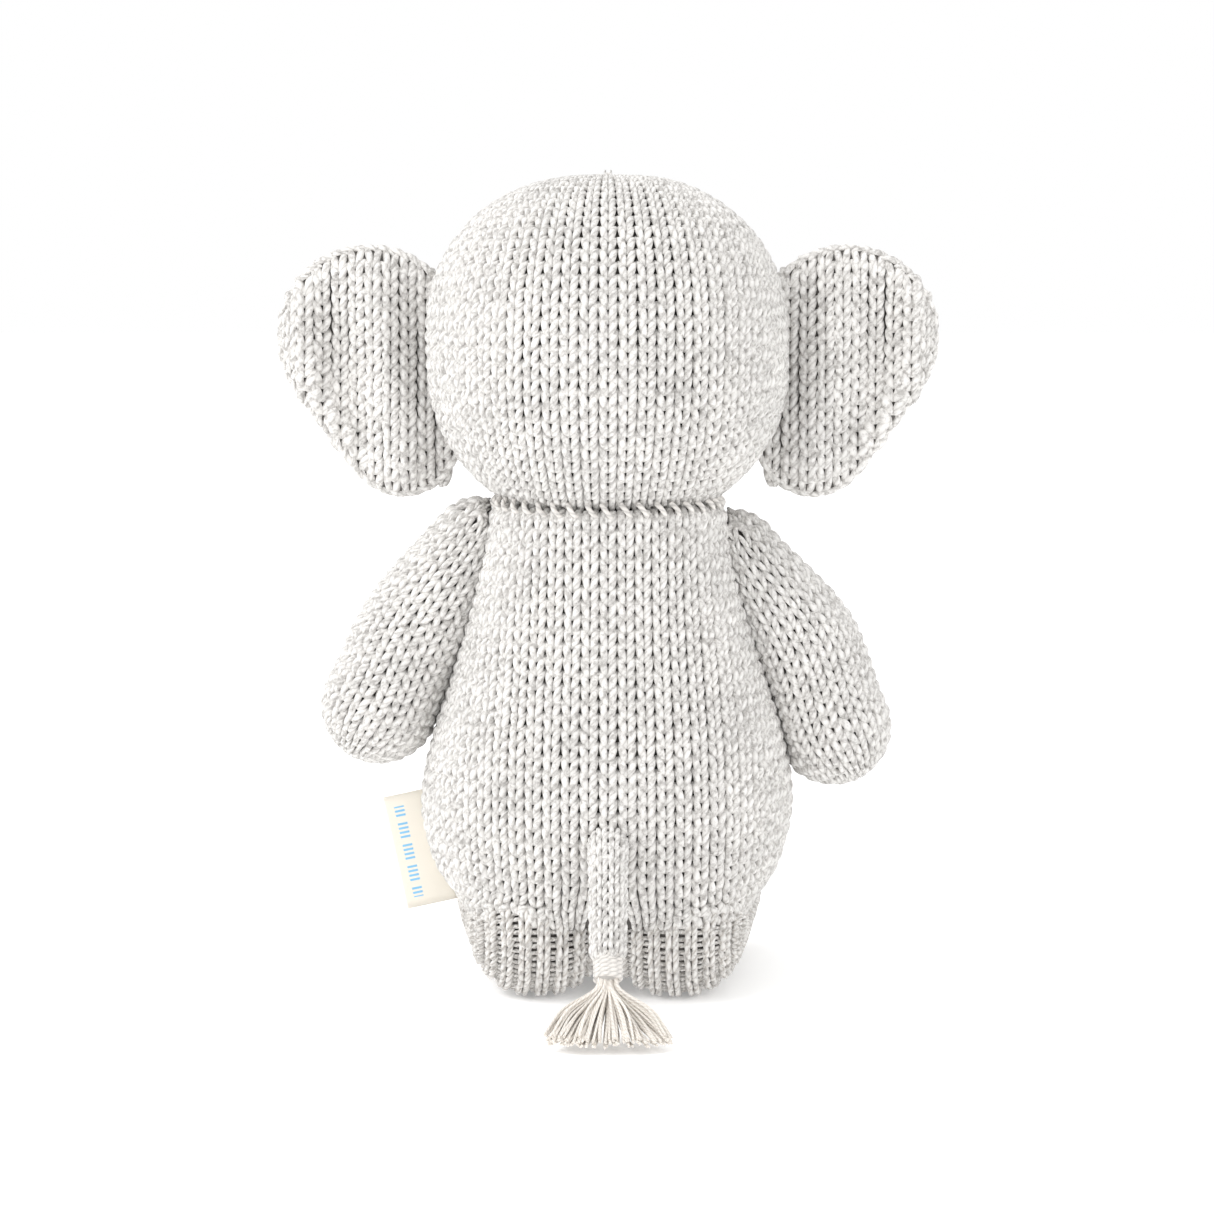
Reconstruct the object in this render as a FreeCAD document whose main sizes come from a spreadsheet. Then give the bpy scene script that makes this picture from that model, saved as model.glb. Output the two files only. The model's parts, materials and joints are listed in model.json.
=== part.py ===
"""Knitted stuffed elephant, seated, as a parametric FreeCAD document.

The toy sits on the undersides of its two legs and faces -Y, with +Z up and its own left at +X.
Every stuffed piece is a knitted cover with a separate filling inside. The head turns and nods in
the drawn-in neck, the arms swing at the shoulders, the legs swing down from sitting to straight,
and the ears, trunk, tail, tassel and side label flap on the seams that hold them.
"""
import FreeCAD, Part
import Sketcher
import math
import os

DOC = FreeCAD.newDocument("KnittedElephant")
UP = FreeCAD.Vector(0, 0, 1)
SIDES = (("left", 1), ("right", -1))
FINISHED = []

SIZES = {
    # the whole toy
    "knit": (2.6, "thickness of the knitted covers"),
    "ease": (0.12, "gap between a cover and its filling"),
    "yarn": (0.8, "radius of the sewing and gathering yarn"),
    "torso_y": (0.4, "torso axis, set so that trunk and tassel reach equally far"),
    # head: a cylinder rounded so far that it is nearly a ball
    "head_y": (-1.6, "head axis"),
    "head_z": (192.5, "middle of the head"),
    "head_half": (54.8, "half the head's width"),
    "head_height": (105.0, "head height"),
    "head_corner": (46.0, "rounding of the head above and below"),
    "head_mouth": (22.0, "radius of the head's neck opening"),
    "dish": (58.0, "radius of the hollow that the head turns in"),
    "neck_ring": (36.0, "radius of the gathered neck yarn"),
    "neck_z": (146.7, "height of the gathered neck yarn"),
    # legs
    "leg_half": (20.2, "leg radius"),
    "leg_x": (20.9, "hip, sideways from the middle"),
    "leg_back": (17.0, "hip, behind the torso axis"),
    "leg_z": (19.6, "hip above the surface"),
    "leg_reach": (64.0, "hip to the middle of the foot"),
    "leg_splay": (6.0, "degrees that each leg turns outwards"),
    "sole": (12.0, "flat sole in front of the middle of the foot"),
    "hip_gap": (0.6, "room between leg and torso"),
    # arms
    "arm_x": (38.5, "shoulder, sideways from the middle"),
    "arm_front": (4.0, "shoulder, in front of the torso axis"),
    "arm_base": (12.5, "arm radius at the shoulder"),
    "arm_tip": (17.8, "arm radius at the hand"),
    "arm_gap": (4.0, "room between arm and belly"),
    "left_arm_z": (136.8, "left shoulder"),
    "right_arm_z": (133.0, "right shoulder"),
    "left_arm_reach": (60.5, "left shoulder to the middle of the hand"),
    "right_arm_reach": (62.5, "right shoulder to the middle of the hand"),
    "left_arm_lean": (30.5, "degrees from hanging straight down"),
    "right_arm_lean": (28.2, "degrees from hanging straight down"),
    "flank": (11.0, "slope of the torso's side at the shoulder, degrees"),
    "shoulder_face": (39.0, "sewn face of the arm, from the torso axis along the shoulder axis"),
    # ears: two tangent discs
    "ear_thick": (10.0, "ear thickness"),
    "ear_edge": (4.2, "rounding of the ear's rim"),
    "ear_back": (-5.0, "ear plane, from the head axis"),
    "ear_top_x": (71.8, "upper disc, sideways"),
    "ear_top_z": (196.0, "upper disc, height"),
    "ear_top_half": (27.0, "upper disc radius"),
    "ear_low_x": (62.0, "lower disc, sideways"),
    "ear_low_z": (165.6, "lower disc, height"),
    "ear_low_half": (17.0, "lower disc radius"),
    "ear_gap": (1.6, "room between ear and head"),
    "ear_hinge_x": (57.8, "ear seam, sideways"),
    "ear_tongue": (1.9, "radius of the sewn inner edge"),
    # trunk
    "trunk_half": (11.5, "trunk radius"),
    "trunk_z": (184.0, "trunk root"),
    "trunk_out": (67.0, "trunk root in front of the head axis"),
    "trunk_dip": (40.0, "degrees that the trunk starts below level"),
    "trunk_bend": (18.0, "radius of the upper bend"),
    "trunk_drop": (22.0, "straight run"),
    "trunk_curl": (20.0, "radius of the curl at the tip"),
    "trunk_curl_turn": (55.0, "degrees that the tip curls forward"),
    # tail
    "tail_half": (5.7, "tail cord radius at the root"),
    "tail_end": (4.6, "tail cord radius at the binding"),
    "tail_out": (52.4, "tail root behind the torso axis"),
    "tail_z": (49.5, "tail root"),
    "tail_reach": (31.0, "tail root to the end of the cord"),
    "tail_dip": (61.5, "degrees that the tail hangs below level"),
    "binding": (7.0, "length of the thread binding"),
    "binding_half": (4.5, "binding radius"),
    "tassel_root": (4.0, "tassel radius at the binding"),
    "tassel_length": (22.5, "binding to the ends of the strands"),
    "tassel_dip": (21.0, "degrees that the tassel lies below level"),
    "tassel_wide": (19.0, "half the width of the spread strands"),
    "tassel_deep": (3.6, "half the thickness of the spread strands"),
    # face and trim
    "eye_half": (4.3, "eye radius"),
    "eye_deep": (2.0, "how far the eye stands out"),
    "eye_x": (20.0, "eye, sideways"),
    "eye_z": (196.5, "eye height"),
    "label_thick": (1.2, "folded tape"),
    "label_tall": (35.0, "label height"),
    "label_wide": (16.0, "tape width before its seam edge is shaped"),
    "label_x": (55.5, "middle of the tape, sideways"),
    "label_y": (0.0, "tape, from the torso axis"),
    "label_z": (41.5, "middle of the tape"),
    "label_lean": (12.0, "degrees that the tape leans with the side seam"),
    "label_gap": (0.8, "room between tape and torso"),
}

# Torso cross-sections from the seat to the neck: height, half width, half depth.
TORSO = (
    (19.0, 44.6, 35.0),
    (34.0, 51.0, 41.5),
    (54.5, 56.0, 46.0),
    (75.0, 53.3, 44.0),
    (95.0, 46.8, 40.0),
    (115.0, 41.0, 36.2),
    (132.0, 36.8, 34.0),
    (151.0, 34.0, 33.0),
)

SHEET = DOC.addObject("Spreadsheet::Sheet", "Sizes")
for row, (alias, (size, meaning)) in enumerate(SIZES.items(), start=1):
    SHEET.set(f"A{row}", meaning)
    SHEET.set(f"B{row}", str(size))
    SHEET.setAlias(f"B{row}", alias)
for index, (height, half_width, half_depth) in enumerate(TORSO):
    row = len(SIZES) + 1 + index
    columns = (("B", "height", height), ("C", "width", half_width), ("D", "depth", half_depth))
    for column, word, size in columns:
        SHEET.set(f"{column}{row}", str(size))
        SHEET.setAlias(f"{column}{row}", f"torso_{word}_{'abcdefgh'[index]}")
DOC.recompute()


def size(expression):
    """The number that an expression of the sheet's cells comes to."""
    return float(SHEET.evalExpression(expression))


def bind(item, **expressions):
    """Ties properties of an object to expressions of the sheet's cells."""
    for name, expression in expressions.items():
        item.setExpression(name, expression)
    return item


def place(item, x, y, z, axis=UP, angle=0.0):
    """Puts an object at a point whose coordinates follow the sheet, turned about an axis."""
    item.Placement = FreeCAD.Placement(FreeCAD.Vector(), FreeCAD.Rotation(axis, angle))
    for name, expression in (("x", x), ("y", y), ("z", z)):
        item.setExpression(f".Placement.Base.{name}", str(expression))
    return item


def turned(item, rotation):
    """Gives an object a rotation and leaves its place alone."""
    item.Placement = FreeCAD.Placement(item.Placement.Base, rotation)
    return item


def pair(kind, name, base, tool):
    """A boolean of two objects: Part::Cut, Part::Common or Part::Fuse."""
    made = DOC.addObject(kind, name)
    if kind == "Part::MultiFuse":
        made.Shapes = [base, tool]
    else:
        made.Base, made.Tool = base, tool
    return made


def cut(name, base, *tools):
    """The base with every tool taken away, one after another."""
    for number, tool in enumerate(tools):
        base = pair("Part::Cut", f"{name}_{number}", base, tool)
    return base


def finish(name, item):
    """Marks an object as a finished sub-part, whose Label names its file."""
    item.Label = name
    FINISHED.append(item)
    return item


def ball(name, radius, x, y, z):
    return place(bind(DOC.addObject("Part::Sphere", name), Radius=radius), x, y, z)


def box(name, length, width, height, x, y, z, rotation):
    """A box that is centred on a point and then turned about it."""
    made = DOC.addObject("Part::Box", name)
    made.Length, made.Width, made.Height = length, width, height
    middle = FreeCAD.Vector(length / 2, width / 2, height / 2)
    made.Placement = FreeCAD.Placement(FreeCAD.Vector(x, y, z) - rotation.multVec(middle), rotation)
    return made


def ring(name, ring_radius, yarn_radius, x, y, z, axis=UP, angle=0.0):
    """A closed loop of yarn."""
    made = bind(DOC.addObject("Part::Torus", name), Radius1=ring_radius, Radius2=yarn_radius)
    return place(made, x, y, z, axis, angle)


def start_sketch(body, name, role):
    sketch = body.newObject("Sketcher::SketchObject", name)
    plane = next(f for f in body.Origin.OriginFeatures if f.Role == role)
    sketch.AttachmentSupport = [(plane, "")]
    sketch.MapMode = "FlatFace"
    return sketch


def rule(sketch, kind, *where, expression=None):
    """Adds a constraint to a sketch and ties its size to the sheet."""
    if expression is None:
        return sketch.addConstraint(Sketcher.Constraint(kind, *where))
    number = sketch.addConstraint(Sketcher.Constraint(kind, *where, size(expression)))
    sketch.setExpression(f"Constraints[{number}]", expression)
    return number


def rounded_cylinder(name, radius, length, corner):
    """A PartDesign pad of a circle, rounded at both ends, standing on its own XY plane."""
    body = DOC.addObject("PartDesign::Body", name)
    sketch = start_sketch(body, f"{name}_circle", "XY_Plane")
    sketch.addGeometry(Part.Circle(FreeCAD.Vector(), UP, size(radius)))
    rule(sketch, "Coincident", 0, 3, -1, 1)
    rule(sketch, "Radius", 0, expression=radius)
    pad = body.newObject("PartDesign::Pad", f"{name}_pad")
    pad.Profile = sketch
    bind(pad, Length=length)
    DOC.recompute()
    rims = [f"Edge{i + 1}" for i, e in enumerate(pad.Shape.Edges) if isinstance(e.Curve, Part.Circle)]
    fillet = body.newObject("PartDesign::Fillet", f"{name}_corner")
    fillet.Base = (pad, rims)
    bind(fillet, Radius=corner)
    body.Tip = fillet
    return body


def sausage(name, base, tip, reach):
    """A revolved tube along +X with a ball at each end: base radius at the origin, tip radius at reach."""
    body = DOC.addObject("PartDesign::Body", name)
    sketch = start_sketch(body, f"{name}_half", "XZ_Plane")
    base_radius, tip_radius, gap = size(base), size(tip), size(reach)
    lean = math.asin((base_radius - tip_radius) / gap)
    upright = math.pi / 2 - lean
    centre, far = FreeCAD.Vector(), FreeCAD.Vector(gap, 0, 0)
    across = FreeCAD.Vector(math.sin(lean), math.cos(lean), 0)
    sketch.addGeometry(Part.ArcOfCircle(Part.Circle(centre, UP, base_radius), upright, math.pi))
    sketch.addGeometry(Part.LineSegment(across * base_radius, far + across * tip_radius))
    sketch.addGeometry(Part.ArcOfCircle(Part.Circle(far, UP, tip_radius), 0, upright))
    sketch.addGeometry(
        Part.LineSegment(FreeCAD.Vector(gap + tip_radius, 0, 0), FreeCAD.Vector(-base_radius, 0, 0))
    )
    rule(sketch, "Coincident", 0, 3, -1, 1)
    rule(sketch, "PointOnObject", 2, 3, -1)
    rule(sketch, "Tangent", 0, 1, 1, 1)
    rule(sketch, "Tangent", 1, 2, 2, 2)
    rule(sketch, "Coincident", 2, 1, 3, 1)
    rule(sketch, "Coincident", 3, 2, 0, 2)
    rule(sketch, "PointOnObject", 3, 1, -1)
    rule(sketch, "PointOnObject", 3, 2, -1)
    rule(sketch, "Radius", 0, expression=base)
    rule(sketch, "Radius", 2, expression=tip)
    rule(sketch, "DistanceX", 0, 3, 2, 3, expression=reach)
    turn = body.newObject("PartDesign::Revolution", f"{name}_turn")
    turn.Profile = sketch
    turn.ReferenceAxis = (sketch, ["H_Axis"])
    turn.Angle = 360
    body.Tip = turn
    return body


# ---- head -------------------------------------------------------------------------------------


def head_form(name, inset):
    """The head's rounded form, taken in by an inset, or let out by a negative one."""
    body = rounded_cylinder(
        name,
        f"Sizes.head_half - ({inset})",
        f"Sizes.head_height - 2 * ({inset})",
        f"Sizes.head_corner - ({inset})",
    )
    return place(body, "0", "Sizes.head_y", f"Sizes.head_z - Sizes.head_height / 2 + ({inset})")


def make_head():
    """The head's cover with its neck opening, its filling, the crown yarn and the two eyes."""
    outside = head_form("head_outside", "0")
    inside = head_form("head_inside", "Sizes.knit")
    opening = bind(DOC.addObject("Part::Cylinder", "neck_opening"), Radius="Sizes.head_mouth")
    opening.Height = 20
    place(opening, "0", "Sizes.head_y", "Sizes.head_z - Sizes.head_height / 2 - 10")
    finish("head_cover", cut("head_skin", outside, inside, opening))
    finish("head_stuffing", head_form("head_fill", "Sizes.knit + Sizes.ease"))
    crown = "Sizes.head_z + Sizes.head_height / 2 + Sizes.yarn + 0.02"
    finish("crown_gather_yarn", ring("crown_ring", "3.2", "Sizes.yarn", "0", "Sizes.head_y", crown))
    for side, sign in SIDES:
        eye = bind(
            DOC.addObject("Part::Ellipsoid", f"{side}_eye_dome"),
            Radius1="Sizes.eye_half", Radius2="Sizes.eye_deep", Radius3="Sizes.eye_half",
        )
        angle = math.degrees(math.asin(sign * size("Sizes.eye_x / Sizes.head_half"))) - 90
        surface_y = "Sizes.head_y - sqrt(Sizes.head_half ^ 2 - Sizes.eye_x ^ 2)"
        place(eye, f"{sign} * Sizes.eye_x", surface_y, "Sizes.eye_z", UP, angle)
        finish(f"{side}_eye", cut(f"{side}_eye_cap", eye, head_form(f"{side}_eye_seat", "-0.02")))


def ear_form(side, sign, word, inset):
    """One ear: the hull of two discs, rounded at its rim, clear of the head, taken in by an inset."""
    name = f"{side}_ear_{word}"
    body = DOC.addObject("PartDesign::Body", name)
    sketch = start_sketch(body, f"{name}_outline", "XZ_Plane")
    top = FreeCAD.Vector(sign * size("Sizes.ear_top_x"), size("Sizes.ear_top_z"), 0)
    low = FreeCAD.Vector(sign * size("Sizes.ear_low_x"), size("Sizes.ear_low_z"), 0)
    top_half, low_half = size(f"Sizes.ear_top_half - ({inset})"), size(f"Sizes.ear_low_half - ({inset})")
    line = low - top
    heading = math.atan2(line.y, line.x)
    spread = math.acos((top_half - low_half) / line.Length)
    first, last = heading + spread, heading - spread + 2 * math.pi

    def rim(centre, radius, angle):
        return centre + FreeCAD.Vector(radius * math.cos(angle), radius * math.sin(angle), 0)

    sketch.addGeometry(Part.ArcOfCircle(Part.Circle(top, UP, top_half), first, last))
    sketch.addGeometry(Part.LineSegment(rim(top, top_half, last), rim(low, low_half, last)))
    sketch.addGeometry(Part.ArcOfCircle(Part.Circle(low, UP, low_half), last, first + 2 * math.pi))
    sketch.addGeometry(Part.LineSegment(rim(low, low_half, first), rim(top, top_half, first)))
    rule(sketch, "Tangent", 0, 2, 1, 1)
    rule(sketch, "Tangent", 1, 2, 2, 1)
    rule(sketch, "Tangent", 2, 2, 3, 1)
    rule(sketch, "Tangent", 3, 2, 0, 1)
    rule(sketch, "Radius", 0, expression=f"Sizes.ear_top_half - ({inset})")
    rule(sketch, "Radius", 2, expression=f"Sizes.ear_low_half - ({inset})")
    for geometry, disc in ((0, "top"), (2, "low")):
        rule(sketch, "DistanceX", -1, 1, geometry, 3, expression=f"{sign} * Sizes.ear_{disc}_x")
        rule(sketch, "DistanceY", -1, 1, geometry, 3, expression=f"Sizes.ear_{disc}_z")
    pad = body.newObject("PartDesign::Pad", f"{name}_pad")
    pad.Profile = sketch
    pad.Midplane = True
    bind(pad, Length=f"Sizes.ear_thick - 2 * ({inset})")
    DOC.recompute()
    planes = [f for f in pad.Shape.Faces if isinstance(f.Surface, Part.Plane)]
    flats = [f for f in planes if abs(f.normalAt(0, 0).y) > 0.9]
    flat_edges = [edge for f in flats for edge in f.Edges]
    rims = [
        f"Edge{i + 1}" for i, e in enumerate(pad.Shape.Edges) if any(e.isSame(o) for o in flat_edges)
    ]
    fillet = body.newObject("PartDesign::Fillet", f"{name}_rim")
    fillet.Base = (pad, rims)
    bind(fillet, Radius=f"Sizes.ear_edge - ({inset})")
    body.Tip = fillet
    place(body, "0", "Sizes.head_y + Sizes.ear_back", "0")
    return cut(f"{name}_hollow", body, head_form(f"{name}_room", f"-Sizes.ear_gap - ({inset})"))


def ear_slab(name, sign, near, far, low, high):
    """A tall slab in the ear's place, between two distances from the middle and two from the ear plane."""
    middle_y = size("Sizes.head_y + Sizes.ear_back")
    return box(
        name, far - near, high - low, 160,
        sign * (near + far) / 2, middle_y + (low + high) / 2, size("Sizes.head_z"), FreeCAD.Rotation(),
    )


def ear_relief(side, sign):
    """What is cut from the ear's inner edge so that only a tongue, round at its seam, reaches the head."""
    hinge, tongue_half = size("Sizes.ear_hinge_x"), size("Sizes.ear_tongue")
    bar = bind(DOC.addObject("Part::Cylinder", f"{side}_ear_bar"), Radius="Sizes.ear_tongue", Height="160")
    place(bar, f"{sign} * Sizes.ear_hinge_x", "Sizes.head_y + Sizes.ear_back", "Sizes.head_z - 80")
    slab = ear_slab(f"{side}_ear_inner", sign, hinge - 40, hinge, -20, 20)
    tongue = ear_slab(f"{side}_ear_tongue", sign, hinge - 40, hinge, -tongue_half, tongue_half)
    return cut(f"{side}_ear_shoulders", slab, bar, tongue)


def make_ears():
    """Each ear is a front and a back layer of knitting, sewn at the rim, with thin wadding between them."""
    for side, sign in SIDES:
        inward = size("Sizes.ear_hinge_x") + 1.0
        outside = cut(f"{side}_ear_body", ear_form(side, sign, "outside", "0"), ear_relief(side, sign))
        pocket = pair(
            "Part::Common", f"{side}_ear_pocket", ear_form(side, sign, "inside", "Sizes.knit"),
            ear_slab(f"{side}_ear_pocket_slab", sign, inward, 140, -20, 20),
        )
        shell = cut(f"{side}_ear_shell", outside, pocket)
        for word, low, high in (("back", 0.05, 20), ("front", -20, -0.05)):
            half = ear_slab(f"{side}_ear_{word}_half", sign, 0, 140, low, high)
            finish(f"{side}_ear_{word}", pair("Part::Common", f"{side}_ear_{word}_layer", shell, half))
        wadding = pair(
            "Part::Common", f"{side}_ear_fill", ear_form(side, sign, "filling", "Sizes.knit + Sizes.ease"),
            ear_slab(f"{side}_ear_fill_slab", sign, inward + size("Sizes.ease"), 140, -20, 20),
        )
        finish(f"{side}_ear_wadding", wadding)


# ---- trunk ------------------------------------------------------------------------------------


def trunk_form(name, inset):
    """The trunk in the YZ plane: ball root, upper bend, straight run, curl and ball tip."""
    radius = f"Sizes.trunk_half - ({inset})"
    dip, curl_turn = math.radians(size("Sizes.trunk_dip")), math.radians(size("Sizes.trunk_curl_turn"))
    bend, drop, curl = size("Sizes.trunk_bend"), size("Sizes.trunk_drop"), size("Sizes.trunk_curl")
    root_y, root_z = size("Sizes.head_y - Sizes.trunk_out"), size("Sizes.trunk_z")
    # The upper bend turns about a point behind and below the root, from its dip to straight down.
    bend_y = root_y + bend * math.sin(dip)
    bend_z = root_z - bend * math.cos(dip)
    run_y = bend_y - bend
    curl_z = bend_z - drop
    curl_y = run_y - curl
    pieces = [ball(f"{name}_root", radius, "0", f"{root_y}", f"{root_z}")]
    upper = bind(DOC.addObject("Part::Torus", f"{name}_bend"), Radius1="Sizes.trunk_bend", Radius2=radius)
    upper.Angle3 = 90 - math.degrees(dip)
    # A torus lies in its own XY plane: local X goes to the side it starts on, local Y along its sweep.
    bend_centre = FreeCAD.Vector(0, bend_y, bend_z)
    upper.Placement = FreeCAD.Placement(bend_centre, turning(-math.sin(dip), math.cos(dip)))
    pieces.append(upper)
    run = bind(DOC.addObject("Part::Cylinder", f"{name}_run"), Radius=radius, Height="Sizes.trunk_drop")
    pieces.append(place(run, "0", f"{run_y}", f"{curl_z}"))
    lower = bind(DOC.addObject("Part::Torus", f"{name}_curl"), Radius1="Sizes.trunk_curl", Radius2=radius)
    lower.Angle3 = math.degrees(curl_turn)
    lower.Placement = FreeCAD.Placement(FreeCAD.Vector(0, curl_y, curl_z), turning(1, 0, flip=True))
    pieces.append(lower)
    tip_y = curl_y + curl * math.cos(curl_turn)
    tip_z = curl_z - curl * math.sin(curl_turn)
    pieces.append(ball(f"{name}_tip", radius, "0", f"{tip_y}", f"{tip_z}"))
    made = DOC.addObject("Part::MultiFuse", name)
    made.Shapes = pieces
    return made


def turning(start_y, start_z, flip=False):
    """The rotation that lays a torus in the YZ plane, starting on the given side of its middle."""
    local_x = FreeCAD.Vector(0, start_y, start_z)
    local_z = FreeCAD.Vector(-1 if flip else 1, 0, 0)
    local_y = local_z.cross(local_x)
    return FreeCAD.Rotation(local_x, local_y, local_z, "ZXY")


def make_trunk():
    cover = cut("trunk_skin", trunk_form("trunk_outside", "0"), trunk_form("trunk_inside", "Sizes.knit"))
    finish("trunk_cover", cover)
    finish("trunk_stuffing", trunk_form("trunk_fill", "Sizes.knit + Sizes.ease"))
    seam_y = "Sizes.head_y - Sizes.head_half - Sizes.yarn - 0.02"
    across = FreeCAD.Vector(1, 0, 0)
    seam = ring("trunk_seam_ring", "10.0", "Sizes.yarn", "0", seam_y, "Sizes.trunk_z + 4", across, 90)
    finish("trunk_seam_yarn", seam)


# ---- torso ------------------------------------------------------------------------------------


def leg_room(name, sign, extra):
    """The space that a leg needs under the torso, let out by an amount."""
    room = sausage(
        name, f"Sizes.leg_half + Sizes.hip_gap + ({extra})", f"Sizes.leg_half + Sizes.hip_gap + ({extra})",
        "Sizes.leg_reach",
    )
    return at_hip(room, sign)


def at_hip(item, sign):
    """Lays a tube from the hip forwards and outwards."""
    item = turned(item, FreeCAD.Rotation(UP, -90 + sign * size("Sizes.leg_splay")))
    for name, expression in (
        ("x", f"{sign} * Sizes.leg_x"), ("y", "Sizes.torso_y + Sizes.leg_back"), ("z", "Sizes.leg_z"),
    ):
        item.setExpression(f".Placement.Base.{name}", expression)
    return item


def torso_loft(name, inset):
    """The torso's pear shape through all its cross-sections, taken in by an inset."""
    sections = []
    for number, letter in enumerate("abcdefgh"[: len(TORSO)]):
        section = DOC.addObject("Part::Ellipse", f"{name}_{letter}")
        bind(
            section,
            MajorRadius=f"Sizes.torso_width_{letter} - ({inset})",
            MinorRadius=f"Sizes.torso_depth_{letter} - ({inset})",
        )
        lift = f" + ({inset})" if number == 0 else ""
        place(section, "0", "Sizes.torso_y", f"Sizes.torso_height_{letter}{lift}")
        sections.append(section)
    loft = DOC.addObject("Part::Loft", name)
    loft.Sections = sections
    loft.Solid = True
    return loft


def torso_form(name, inset):
    """The pear shape, hollowed above both legs."""
    rooms = [leg_room(f"{name}_{side}_hip", sign, inset) for side, sign in SIDES]
    return cut(f"{name}_body", torso_loft(f"{name}_loft", inset), *rooms)


def make_torso():
    """The torso's cover, open at the neck, its filling, the neck yarn and the side label."""
    outside = torso_form("torso_outside", "0")
    inside = torso_form("torso_inside", "Sizes.knit")
    filling = torso_form("torso_filling", "Sizes.knit + Sizes.ease")
    dish = ball("neck_dish", "Sizes.dish", "0", "Sizes.head_y", "Sizes.head_z")
    finish("torso_cover", cut("torso_skin", outside, inside, dish))
    finish("torso_stuffing", cut("torso_fill", filling, dish))
    neck = ring("neck_ring", "Sizes.neck_ring", "Sizes.yarn", "0", "Sizes.torso_y - 1.3", "Sizes.neck_z")
    finish("neck_gather_yarn", neck)


def make_label():
    """A folded cotton tape that stands out of the left side."""
    lean = FreeCAD.Rotation(FreeCAD.Vector(0, 1, 0), size("Sizes.label_lean"))
    tape = box(
        "label_blank", size("Sizes.label_wide"), size("Sizes.label_thick"), size("Sizes.label_tall"),
        size("Sizes.label_x"), size("Sizes.torso_y + Sizes.label_y"), size("Sizes.label_z"), lean,
    )
    finish("side_label", cut("label_tape", tape, torso_loft("label_room", "-Sizes.label_gap")))


# ---- limbs ------------------------------------------------------------------------------------


def make_legs():
    """Each leg is a cover with a flat underside and sole, its filling, and the sole's gathering yarn."""
    for side, sign in SIDES:
        forms = {}
        layers = (("outside", "0"), ("inside", "Sizes.knit"), ("filling", "Sizes.knit + Sizes.ease"))
        for word, inset in layers:
            radius = f"Sizes.leg_half - ({inset})"
            tube = at_hip(sausage(f"{side}_leg_{word}", radius, radius, "Sizes.leg_reach"), sign)
            inward = size(inset)
            splay = math.radians(size("Sizes.leg_splay"))
            front = size("Sizes.leg_reach + Sizes.sole") - inward + 50
            hip_x, hip_y = sign * size("Sizes.leg_x"), size("Sizes.torso_y + Sizes.leg_back")
            ahead = box(
                f"{side}_sole_{word}", 100, 100, 100,
                hip_x + sign * front * math.sin(splay), hip_y - front * math.cos(splay), size("Sizes.leg_z"),
                FreeCAD.Rotation(UP, -90 + sign * size("Sizes.leg_splay")),
            )
            below = box(
                f"{side}_seat_{word}", 300, 300, 100, hip_x, hip_y, inward - 50, FreeCAD.Rotation(),
            )
            forms[word] = cut(f"{side}_leg_{word}_form", tube, ahead, below)
        finish(f"{side}_leg_cover", cut(f"{side}_leg_skin", forms["outside"], forms["inside"]))
        finish(f"{side}_leg_stuffing", forms["filling"])
        reach = size("Sizes.leg_reach + Sizes.sole + Sizes.yarn") + 0.02
        heading = FreeCAD.Vector(sign * math.sin(splay), -math.cos(splay), 0)
        gather = bind(DOC.addObject("Part::Torus", f"{side}_sole_ring"), Radius2="Sizes.yarn")
        gather.Radius1 = 3.0
        gather.Placement = FreeCAD.Placement(
            FreeCAD.Vector(hip_x, hip_y, size("Sizes.leg_z")) + heading * reach, FreeCAD.Rotation(UP, heading)
        )
        finish(f"{side}_sole_gather_yarn", gather)


def make_arms():
    """Each arm is a cover sewn flat against the shoulder, its filling and its sewing yarn."""
    flank = math.radians(size("Sizes.flank"))
    for side, sign in SIDES:
        outward = FreeCAD.Vector(sign * math.cos(flank), 0, math.sin(flank))
        shoulder = FreeCAD.Vector(
            sign * size("Sizes.arm_x"), size("Sizes.torso_y - Sizes.arm_front"), size(f"Sizes.{side}_arm_z")
        )
        lean = math.radians(size(f"Sizes.{side}_arm_lean"))
        down = FreeCAD.Vector(sign * math.sin(lean), 0, -math.cos(lean))
        level = outward * FreeCAD.Vector(0, 0, shoulder.z)
        face = outward * (size("Sizes.shoulder_face") + level)
        forms = {}
        layers = (("outside", "0"), ("inside", "Sizes.knit"), ("filling", "Sizes.knit + Sizes.ease"))
        for word, inset in layers:
            tube = sausage(
                f"{side}_arm_{word}", f"Sizes.arm_base - ({inset})", f"Sizes.arm_tip - ({inset})",
                f"Sizes.{side}_arm_reach",
            )
            tube.Placement = FreeCAD.Placement(shoulder, FreeCAD.Rotation(FreeCAD.Vector(1, 0, 0), down))
            middle = face - outward * 50
            middle = FreeCAD.Vector(middle.x, shoulder.y, middle.z)
            inner = box(
                f"{side}_shoulder_{word}", 100, 100, 300, middle.x, middle.y, middle.z,
                FreeCAD.Rotation(FreeCAD.Vector(1, 0, 0), outward) if sign > 0
                else FreeCAD.Rotation(FreeCAD.Vector(-1, 0, 0), outward),
            )
            room = torso_loft(f"{side}_arm_{word}_room", f"-Sizes.arm_gap - ({inset})")
            forms[word] = cut(f"{side}_arm_{word}_form", tube, inner, room)
        finish(f"{side}_arm_cover", cut(f"{side}_arm_skin", forms["outside"], forms["inside"]))
        finish(f"{side}_arm_stuffing", forms["filling"])
        torus = DOC.addObject("Part::Torus", f"{side}_arm_ring")
        seam = bind(torus, Radius1="0.6 * Sizes.arm_base", Radius2="Sizes.yarn")
        behind = outward * (size("Sizes.shoulder_face - Sizes.yarn") - 0.02 + level - outward * shoulder)
        seam.Placement = FreeCAD.Placement(shoulder + behind, FreeCAD.Rotation(UP, outward))
        finish(f"{side}_arm_seam_yarn", seam)


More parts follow.
